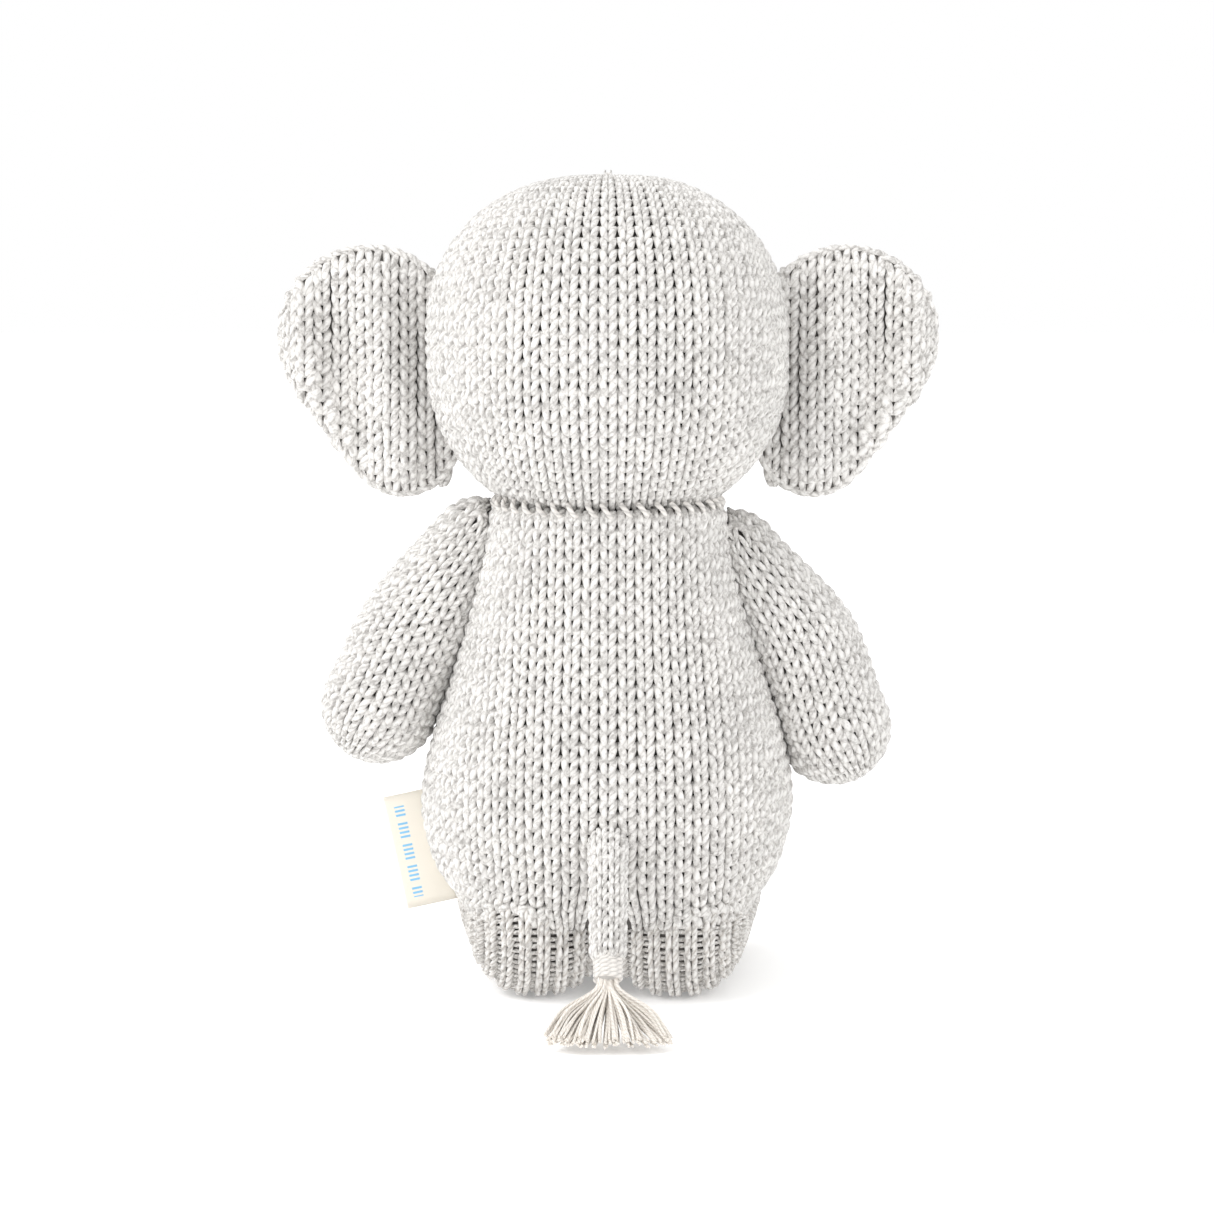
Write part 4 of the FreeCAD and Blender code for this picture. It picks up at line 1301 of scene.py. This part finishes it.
@dataclass
class Ear:
    """A large flat ear of two knitted layers, its columns upright, with a soft fold down its middle."""

    bench: Workbench
    head: Head
    side: str
    sign: float
    top_disc: tuple[float, float, float] = (71.8, 196.0, 27.0)
    low_disc: tuple[float, float, float] = (62.0, 165.6, 17.0)
    plane: float = -5.0
    thick: float = 9.0
    columns_across: int = 10
    fold: float = 4.6
    fold_ridge: float = 67.0
    fold_width: float = 13.5

    def depth_inside(self, x: np.ndarray, z: np.ndarray) -> np.ndarray:
        """How far points lie inside the ear's outline, for the ear on the +X side."""
        (x0, z0, r0), (x1, z1, r1) = self.top_disc, self.low_disc
        shares = np.linspace(0, 1, 40)
        best = np.full(x.shape, -1e9)
        for share in shares:
            cx, cz, r = x0 + (x1 - x0) * share, z0 + (z1 - z0) * share, r0 + (r1 - r0) * share
            best = np.maximum(best, r - np.hypot(x - cx, z - cz))
        form = self.head.form
        height = z - form.origin[2]
        half = np.interp(height, form.stations[:, 0], form.stations[:, 1])
        half = np.sqrt(np.maximum(half**2 - self.plane**2, 1.0))
        return np.minimum(best, x - half + 1.2)

    def surface(self, x: np.ndarray, z: np.ndarray, face: float) -> np.ndarray:
        """Points of the ear's back (face 1) or front (face -1)."""
        depth = np.maximum(self.depth_inside(x, z), 0.0)
        puff = self.thick / 2 * np.sqrt(np.clip(depth / 9.0, 0, 1) * (2 - np.clip(depth / 9.0, 0, 1)))
        wave = np.cos((x - self.fold_ridge - 0.16 * (z - 190)) / self.fold_width * math.pi)
        fold = self.fold * wave * np.clip(depth / 8, 0, 1) * np.clip((230 - z) / 30, 0, 1)
        ripple = 0.8 * lumps(np.stack([x, z, z * 0], axis=-1), 34, 71 if self.sign > 0 else 72)
        y = self.head.form.origin[1] + self.plane + face * puff + fold + ripple
        return np.stack([self.sign * x, y, z], axis=-1)

    def edges(self) -> list[tuple[float, float, float]]:
        """The upright lines between columns, each with its lowest and highest points on the outline."""
        heights = np.linspace(140, 230, 361)
        found = []
        # The two outermost columns are narrow, so they follow the curve of the rim closely.
        for x in (98.4, 96.6, *np.linspace(93.6, 47.0, self.columns_across)):
            held = heights[self.depth_inside(np.full_like(heights, x), heights) > 0.0]
            low, high = (held.min(), held.max()) if len(held) else (190.0, 190.0)
            if found and x < 60 and high - low < 0.8 * (found[-1][2] - found[-1][1]):
                low, high = found[-1][1:]
            found.append((float(x), float(low), float(high)))
        return found[::-1]

    def rim(self, count: int = 220) -> np.ndarray:
        """The outline as a loop of points in the ear's plane."""
        centre = np.array([self.top_disc[0] - 3, self.top_disc[1] - 10])
        loop = []
        for angle in np.linspace(0, 2 * math.pi, count, endpoint=False):
            direction = np.array([math.cos(angle), math.sin(angle)])
            reach = np.linspace(1, 70, 700)
            spots = centre + reach[:, None] * direction
            inside = self.depth_inside(spots[:, 0], spots[:, 1]) > 0
            stop = reach[np.argmin(inside)] if not inside.all() else reach[-1]
            loop.append(centre + stop * direction)
        return np.array(loop)

    def build(self) -> None:
        """Builds both layers, the lining between them and the sewn rim."""
        bench = self.bench
        quads, outward = [], []
        for face in (layer.value for layer in EarLayer):
            edges = self.edges()
            for (inner, low_in, high_in), (outer, low_out, high_out) in zip(edges, edges[1:]):
                rows = max(2, round((high_in - low_in + high_out - low_out) / 2 / bench.row))
                near, far = np.linspace(low_in, high_in, rows + 1), np.linspace(low_out, high_out, rows + 1)
                for k in range(rows):
                    x = np.array([inner, outer, outer, inner])
                    z = np.array([near[k], far[k], far[k + 1], near[k + 1]])
                    quads.append(self.surface(x, z, face))
                    outward.append([0.0, face, 0.0])
        knit = Knit(np.array(quads), np.array(outward, float)).filled(cap=1.0)
        grid = knit.grid_mesh(f"{self.side}_ear_grid", seed=81)
        cover = bench.shop.knit(
            f"{self.side}_ear_stitches", grid, StitchShape(yarn=1.15), bench.cotton, seed=81
        )
        loop = self.rim()
        centre = loop.mean(axis=0)
        shares = (0.985, 0.95, 0.88, 0.76, 0.6, 0.42, 0.24, 0.1)
        rings = [loop * share + centre * (1 - share) for share in shares]
        count = len(loop)
        points, faces = [], []
        for face in (layer.value for layer in EarLayer):
            for ring in rings:
                ring_points = self.surface(ring[:, 0], ring[:, 1], face)
                ring_points[:, 1] -= face * 1.3 * np.clip(self.depth_inside(ring[:, 0], ring[:, 1]) / 3, 0, 1)
                points.append(ring_points)
            points.append(self.surface(centre[None, 0], centre[None, 1], face) - [[0, face * 1.3, 0]])
        cloud = np.vstack(points)
        block = len(rings) * count + 1
        for layer in (0, 1):
            base = layer * block
            for k in range(len(rings) - 1):
                for j in range(count):
                    a, b = base + k * count + j, base + k * count + (j + 1) % count
                    quad = (a, b, b + count, a + count)
                    faces.append(quad if layer == 0 else tuple(reversed(quad)))
            last = base + (len(rings) - 1) * count
            for j in range(count):
                tri = (last + j, last + (j + 1) % count, base + block - 1)
                faces.append(tri if layer == 0 else tuple(reversed(tri)))
        for j in range(count):
            a, b = j, (j + 1) % count
            faces.append((b, a, a + block, b + block))
        shade_lining = plain_mesh(f"{self.side}_ear_lining", cloud, facing_out(cloud, faces), bench.shade_lining)
        closed = np.vstack([loop, loop[:1]])
        count_round = round(np.linalg.norm(np.diff(closed, axis=0), axis=1).sum() / bench.row)
        places = np.linspace(0, count, count_round + 1)
        edge = np.stack([np.interp(places, np.arange(count + 1), column) for column in closed.T], axis=1)
        middle = (self.surface(edge[:, 0], edge[:, 1], 1.0) + self.surface(edge[:, 0], edge[:, 1], -1.0)) / 2
        away = unit(middle - middle.mean(axis=0)) * [1, 0, 1]
        half = np.array([0.0, 2.5, 0.0])
        strip = np.array([
            [a - half, a + half, b + half, b - half]
            for a, b in zip(middle, middle[1:])
        ])
        rim_knit = Knit(strip, (away[:-1] + away[1:]) / 2)
        rim = bench.shop.knit(
            f"{self.side}_ear_rim", rim_knit.grid_mesh(f"{self.side}_ear_rim_grid", seed=91),
            StitchShape(yarn=1.1, plump=0.25), bench.cotton, seed=91,
        )
        piece = joined(f"{self.side}_ear_knit", [cover, shade_lining, rim])
        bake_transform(piece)
        names = [f"{self.side}_ear_{word}" for word in ("back", "front", "wadding")]
        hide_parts(*names)
        LOG.info("%s ear: %d faces", self.side, len(piece.data.polygons))


@dataclass
class Trunk:
    """The trunk: a narrow stuffed tube that hangs from the face and curls forwards at its tip."""

    bench: Workbench
    radius: float = 11.3
    dip: float = 40.0
    bend: float = 18.0
    drop: float = 22.0
    curl: float = 20.0
    curl_turn: float = 55.0

    def path(self) -> tuple[np.ndarray, np.ndarray]:
        """The trunk's middle line from its tip to the face, and its radii."""
        root = pivot_mm("trunk_swing")
        dip = math.radians(self.dip)
        bend = np.array([0.0, root[1] + self.bend * math.sin(dip), root[2] - self.bend * math.cos(dip)])
        inward = np.array([0, math.cos(dip), math.sin(dip)])
        points = [root + inward * back for back in (18.0, 14.5, 11.0, 7.5, 4.0, 0.0)]
        for turn in np.linspace(math.pi / 2 + dip, math.pi, 9)[1:]:
            points.append(bend + self.bend * np.array([0.0, math.cos(turn), math.sin(turn)]))
        low = points[-1] - np.array([0.0, 0.0, self.drop])
        points += [points[-1] * 0.5 + low * 0.5, low]
        hub = low - np.array([0.0, self.curl, 0.0])
        for turn in np.linspace(0, math.radians(self.curl_turn), 9)[1:]:
            points.append(hub + self.curl * np.array([0.0, math.cos(turn), -math.sin(turn)]))
        path = np.array(points)
        radii = np.linspace(1.0, 0.84, len(path)) * self.radius
        radii[0] *= 0.9
        tip_heading = unit(path[-1] - path[-2])
        tip = [(path[-1] + tip_heading * radii[-1] * math.sin(a), radii[-1] * math.cos(a))
               for a in np.linspace(0, math.pi / 2, 7)[1:]]
        path = np.vstack([path] + [point[None] for point, _ in tip])
        radii = np.concatenate([radii, [max(r, 0.05) for _, r in tip]])
        return path[::-1], radii[::-1]

    def build(self) -> None:
        """Builds the trunk."""
        bench = self.bench
        form = PathForm(*self.path())
        knit = Knit.rounds(form, (0.5, form.span), 13, bench.wale, bench.row).filled(cap=0.6)
        grid = knit.grid_mesh("trunk_grid", seed=101)
        cover = bench.shop.knit("trunk_stitches", grid, StitchShape(), bench.cotton, seed=101)
        points, faces = closed_tube(form, 1.9, 36, 28)
        shade_lining = plain_mesh("trunk_lining", points, facing_out(points, faces), bench.shade_lining)
        piece = joined("trunk_knit", [cover, shade_lining])
        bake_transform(piece)
        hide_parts("trunk_cover", "trunk_stuffing")
        LOG.info("trunk: %d faces", len(piece.data.polygons))


@dataclass
class Tail:
    """The tail: a knitted cord, the thread wound round its end and the tassel of loose strands."""

    bench: Workbench
    root_half: float = 5.7
    end_half: float = 4.9
    dip: float = 61.5
    reach: float = 31.0
    binding: float = 7.0
    strands: int = 150

    def build(self) -> None:
        """Builds the cord, its binding and the tassel."""
        bench = self.bench
        root = pivot_mm("tail_swing")
        dip = math.radians(self.dip)
        heading = np.array([0.0, math.cos(dip), -math.sin(dip)])
        end = root + heading * self.reach
        knot = pivot_mm("tassel_lift")
        path = np.array([root - [0, 6.5, -1.5], root - [0, 3.0, -0.8], root + heading * 3] + [
            root + heading * share * self.reach for share in (0.25, 0.5, 0.75, 1.0)
        ])
        radii = np.interp(np.arange(len(path)), [0, len(path) - 1], [self.root_half, self.end_half])
        form = PathForm(path[::-1], radii[::-1])
        knit = Knit.rounds(form, (0.0, form.span), 9, 3.7, 3.3)
        grid = knit.grid_mesh("tail_grid", seed=111)
        cover = bench.shop.knit(
            "tail_stitches", grid, StitchShape(yarn=0.95, sink=0.8), bench.cotton, seed=111
        )
        points, faces = closed_tube(form, 1.3, 14, 18)
        shade_lining = plain_mesh("tail_lining", points, facing_out(points, faces), bench.shade_lining)
        cord = joined("tail_cord_knit", [cover, shade_lining])
        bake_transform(cord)
        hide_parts("tail_cord")
        # The binding: six close turns of thread, its end tucked in.
        side = np.array([1.0, 0.0, 0.0])
        back = np.cross(side, heading)
        turns = np.linspace(0, 2 * math.pi * 6, 6 * 16 + 1)
        lift = np.linspace(-0.6, self.binding - 0.2, len(turns))
        wound = end + lift[:, None] * heading + 3.55 * (
            np.cos(turns)[:, None] * side + np.sin(turns)[:, None] * back
        )
        thread = bench.shop.spin("tail_binding_thread", [wound], bench.sewing, 0.78, 8, seed=121)
        core_path = np.array([end - heading * 1.5, end + heading * 2, end + heading * (self.binding + 1.0)])
        core_form = PathForm(core_path, np.array([3.6, 3.4, 3.2]))
        points, faces = closed_tube(core_form, 0.0, 6, 16)
        core = plain_mesh("tail_binding_core", points, facing_out(points, faces), bench.sewing)
        binding = joined("tail_binding_wound", [thread, core])
        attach(binding, "tail")
        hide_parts("tail_binding")
        self.build_tassel(end + heading * (self.binding - 1.5), heading, knot)
        LOG.info("tail: %d strands in the tassel", self.strands)

    def build_tassel(self, start: np.ndarray, heading: np.ndarray, knot: np.ndarray) -> None:
        """Fans the strands out over the surface behind the toy.

        Args:
            start: Where the strands leave the binding.
            heading: The cord's direction.
            knot: The tassel's pivot.
        """
        low, high = box_mm("tail_tassel")
        rng = np.random.default_rng(7)
        lines = []
        for _ in range(self.strands):
            spread = rng.uniform(-1, 1)
            layer = rng.uniform(-1, 1)
            reach = (high[1] - knot[1]) * (1.0 - 0.22 * abs(spread) ** 2) * rng.uniform(0.92, 1.0)
            tip = np.array([
                17.8 * math.sin(spread * 1.25) / math.sin(1.25), knot[1] + reach,
                low[2] + 1.6 + 3.2 * (layer * 0.5 + 0.5) * rng.uniform(0.6, 1.0),
            ])
            a = start + np.array([2.5 * spread, 0.4 * layer, 2.2 * layer])
            b = start + heading * 5.5 + np.array([3.6 * spread, 0.6 + 0.8 * layer, 2.2 * layer])
            c = (b + tip) / 2 + np.array([2.4 * spread, -0.5, -1.5 + 1.7 * layer + rng.normal(0, 0.4)])
            wobble = rng.normal(0, 0.35, 3)
            line = rounded([tuple(a), tuple(b), tuple(c + wobble), tuple(tip)], 5)
            line[:, 2] = np.maximum(line[:, 2], 0.75)
            lines.append(line)
        mesh = self.bench.shop.spin("tassel_strands", lines, self.bench.tassel, 0.42, 5, seed=131)
        piece = joined("tassel_strands", [mesh])
        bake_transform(piece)
        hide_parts("tail_tassel")


@dataclass
class NeckSeam:
    """The drawn-in neck: short sewing stitches that bridge the groove between head and torso."""

    bench: Workbench
    stitches: int = 40
    low: float = 144.6
    high: float = 148.6

    def build(self) -> None:
        """Builds the sewing stitches."""
        ring_low, ring_high = box_mm("neck_gather_yarn")
        centre = (ring_low + ring_high) / 2
        radius = (ring_high[0] - ring_low[0]) / 2 - 2.6
        rng = np.random.default_rng(17)
        lines = []
        for number in range(self.stitches):
            turn = 2 * math.pi * (number + rng.uniform(-0.12, 0.12)) / self.stitches
            slant = 0.55 * 2 * math.pi / self.stitches
            line = []
            for share in np.linspace(0, 1, 7):
                angle = turn + slant * (share - 0.5)
                bulge = radius + 1.5 * math.sin(math.pi * share) - 0.9
                line.append((
                    centre[0] + bulge * math.sin(angle), centre[1] + bulge * math.cos(angle),
                    self.low + (self.high - self.low) * share,
                ))
            lines.append(np.array(line))
        yarn = self.bench.shop.spin("neck_seam", lines, self.bench.sewing, 0.75, 8, seed=3)
        piece = new_piece("neck_seam", yarn)
        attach(piece, "neck")
        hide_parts("neck_gather_yarn")
        LOG.info("neck seam: %d stitches", self.stitches)


@dataclass
class SideLabel:
    """A short woven tape, folded in two and sewn into the left side seam."""

    bench: Workbench
    tall: float = 35.0
    lean: float = 12.0
    centre: tuple[float, float, float] = (55.5, 0.4, 41.5)
    outer: float = 9.2
    inner: float = -6.4
    ply: float = 0.42

    def build(self) -> None:
        """Builds the folded tape with a millimetre UV map."""
        angle = math.radians(self.lean)
        across = np.array([math.cos(angle), 0.0, -math.sin(angle)])
        upward = np.array([math.sin(angle), 0.0, math.cos(angle)])
        back = np.array([0.0, 1.0, 0.0])
        middle = np.array(self.centre)
        leaf, fold = 0.28, []
        straight = np.linspace(self.inner, self.outer - leaf, 10)
        fold += [(x, leaf + 0.25 * math.sin(2.2 * (x - self.inner) / 14)) for x in straight]
        for turn in np.linspace(math.pi / 2, -math.pi / 2, 7)[1:-1]:
            fold.append((self.outer - leaf + leaf * math.cos(turn), leaf * math.sin(turn) + 0.2))
        fold += [(x, -leaf + 0.25 * math.sin(2.2 * (x - self.inner) / 14)) for x in straight[::-1]]
        fold_line = np.array(fold)
        run = np.concatenate([[0], np.cumsum(np.linalg.norm(np.diff(fold_line, axis=0), axis=1))])
        crease = run[len(fold_line) // 2]
        levels = np.linspace(-self.tall / 2, self.tall / 2, 15)
        points, places = [], []
        for level in levels:
            curl = 1.1 * (level / self.tall) ** 2
            for (x, y), along in zip(fold_line, run):
                bent = y + curl * (x - self.inner) / 10
                points.append(middle + across * x + back * bent + upward * level)
                places.append((abs(along - crease), level + self.tall / 2))
        width = len(fold_line)
        faces = [
            (k * width + j, k * width + j + 1, (k + 1) * width + j + 1, (k + 1) * width + j)
            for k in range(len(levels) - 1) for j in range(width - 1)
        ]
        mesh = plain_mesh("side_label_tape", np.array(points), faces, self.bench.tape)
        layer = mesh.uv_layers.new(name="tape")
        for loop in mesh.loops:
            layer.data[loop.index].uv = places[loop.vertex_index]
        piece = new_piece("side_label_tape", mesh)
        wall = piece.modifiers.new("ply", "SOLIDIFY")
        wall.thickness = self.ply * MM
        wall.offset = 0.0
        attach(piece, "label")
        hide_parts("side_label")
        LOG.info("side label: %.0f mm tall", self.tall)


@dataclass
class Studio:
    """Pale seamless floor, soft lights and the camera behind the toy."""

    eye_height: float = 230.0
    aim_height: float = 114.9
    distance: float = 1000.0
    field_width: float = 366.6

    def build_camera(self) -> None:
        """Places the camera straight behind the toy, a little above it."""
        low, high = box_mm("torso_cover")
        axis_y = (low[1] + high[1]) / 2
        data = bpy.data.cameras.new("camera")
        camera = bpy.data.objects.new("camera", data)
        bpy.context.scene.collection.objects.link(camera)
        place = Vector((0.3, axis_y + self.distance, self.eye_height)) * MM
        aim = Vector((0.3, axis_y, self.aim_height)) * MM
        camera.location = place
        camera.rotation_euler = (aim - place).to_track_quat("-Z", "Y").to_euler()
        data.sensor_width = 36.0
        data.lens = 36.0 * (aim - place).length / (self.field_width * MM)
        data.clip_start, data.clip_end = 0.01, 30.0
        bpy.context.scene.camera = camera

    @staticmethod
    def lamp(name: str, place: tuple[float, float, float], size: float, power: float) -> None:
        """Hangs a square soft light that faces the middle of the toy."""
        data = bpy.data.lights.new(name, "AREA")
        data.shape, data.size, data.energy = "SQUARE", size, power
        lamp = bpy.data.objects.new(name, data)
        bpy.context.scene.collection.objects.link(lamp)
        lamp.location = place
        lamp.rotation_euler = (Vector((0, 0, 0.12)) - Vector(place)).to_track_quat("-Z", "Y").to_euler()

    def build(self) -> None:
        """Builds the floor, the world and the lamps."""
        half = 6.0
        corners = [(-half, -half, 0), (half, -half, 0), (half, half, 0), (-half, half, 0)]
        mesh = bpy.data.meshes.new("studio_floor")
        mesh.from_pydata(corners, [], [(0, 1, 2, 3)])
        mesh.materials.append(MattePaper().material())
        new_piece("studio_floor", mesh)
        world = bpy.data.worlds.new("studio_world")
        world.use_nodes = True
        backdrop = world.node_tree.nodes["Background"]
        backdrop.inputs["Color"].default_value = (1.0, 1.0, 1.0, 1.0)
        backdrop.inputs["Strength"].default_value = 1.0
        bpy.context.scene.world = world
        self.lamp("key_light", (1.3, 0.7, 1.5), 1.6, 20.0)
        self.lamp("fill_light", (-1.2, 1.2, 0.5), 1.2, 2.5)
        bpy.context.scene.view_settings.view_transform = "Standard"
        LOG.info("studio: floor, world and two soft lights")


def main() -> None:
    """Builds every sub-assembly in order."""
    studio = Studio()
    studio.build_camera()
    cotton = CottonYarn("plied_cotton")
    bench = Workbench(
        shop=NodeShop(),
        cotton=cotton.material(),
        # Same cotton with a darker groove colour: deeper painted shade in the legs' ply grooves.
        cotton_deeper_shade=CottonYarn("plied_cotton_deeper_shade", groove_shade="BFB8B0").material(),
        # The lining's dark grey is painted shade for the gaps between stitches.
        shade_lining=PaintedShadeLining("knit_lining_painted_shade").material(),
        sewing=CottonYarn("sewing_cotton", light="EFEBE6", flecks=0.2, ply_pitch=2.2).material(),
        tassel=CottonYarn("tassel_cotton", light="F6F1EA", groove_shade="DFD6CB", flecks=0.1, ply_pitch=1.8,
                          ply_depth=0.00015).material(),
        eye=CottonYarn("eye_cotton", light="3A2A22", groove_shade="1C130F", fleck="2A1E18", ply_pitch=1.6,
                       ply_depth=0.0002).material(),
        tape=WovenTape("woven_tape").material(),
    )
    head = Head(bench)
    head.build()
    Eyes(bench).build()
    torso = Torso(bench)
    torso.build()
    for side, sign in SIDES:
        Leg(bench, side, sign).build()
        lean, reach, bulge = {"left": (30.5, 60.5, 2.6), "right": (28.2, 62.5, 4.6)}[side]
        Arm(bench, torso, side, sign, lean=lean, reach=reach, bulge=bulge).build()
        Ear(bench, head, side, sign).build()
    Trunk(bench).build()
    Tail(bench).build()
    NeckSeam(bench).build()
    SideLabel(bench).build()
    for node in ("trunk_seam_yarn", "tail_seam_yarn", "left_arm_seam_yarn",
                 "right_arm_seam_yarn", "left_sole_gather_yarn", "right_sole_gather_yarn"):
        for slot in frame["nodes"][node].material_slots:
            slot.material = bench.sewing
    studio.build()


if __name__ == "__main__":
    logging.basicConfig(level=logging.INFO, format="%(message)s")
    main()
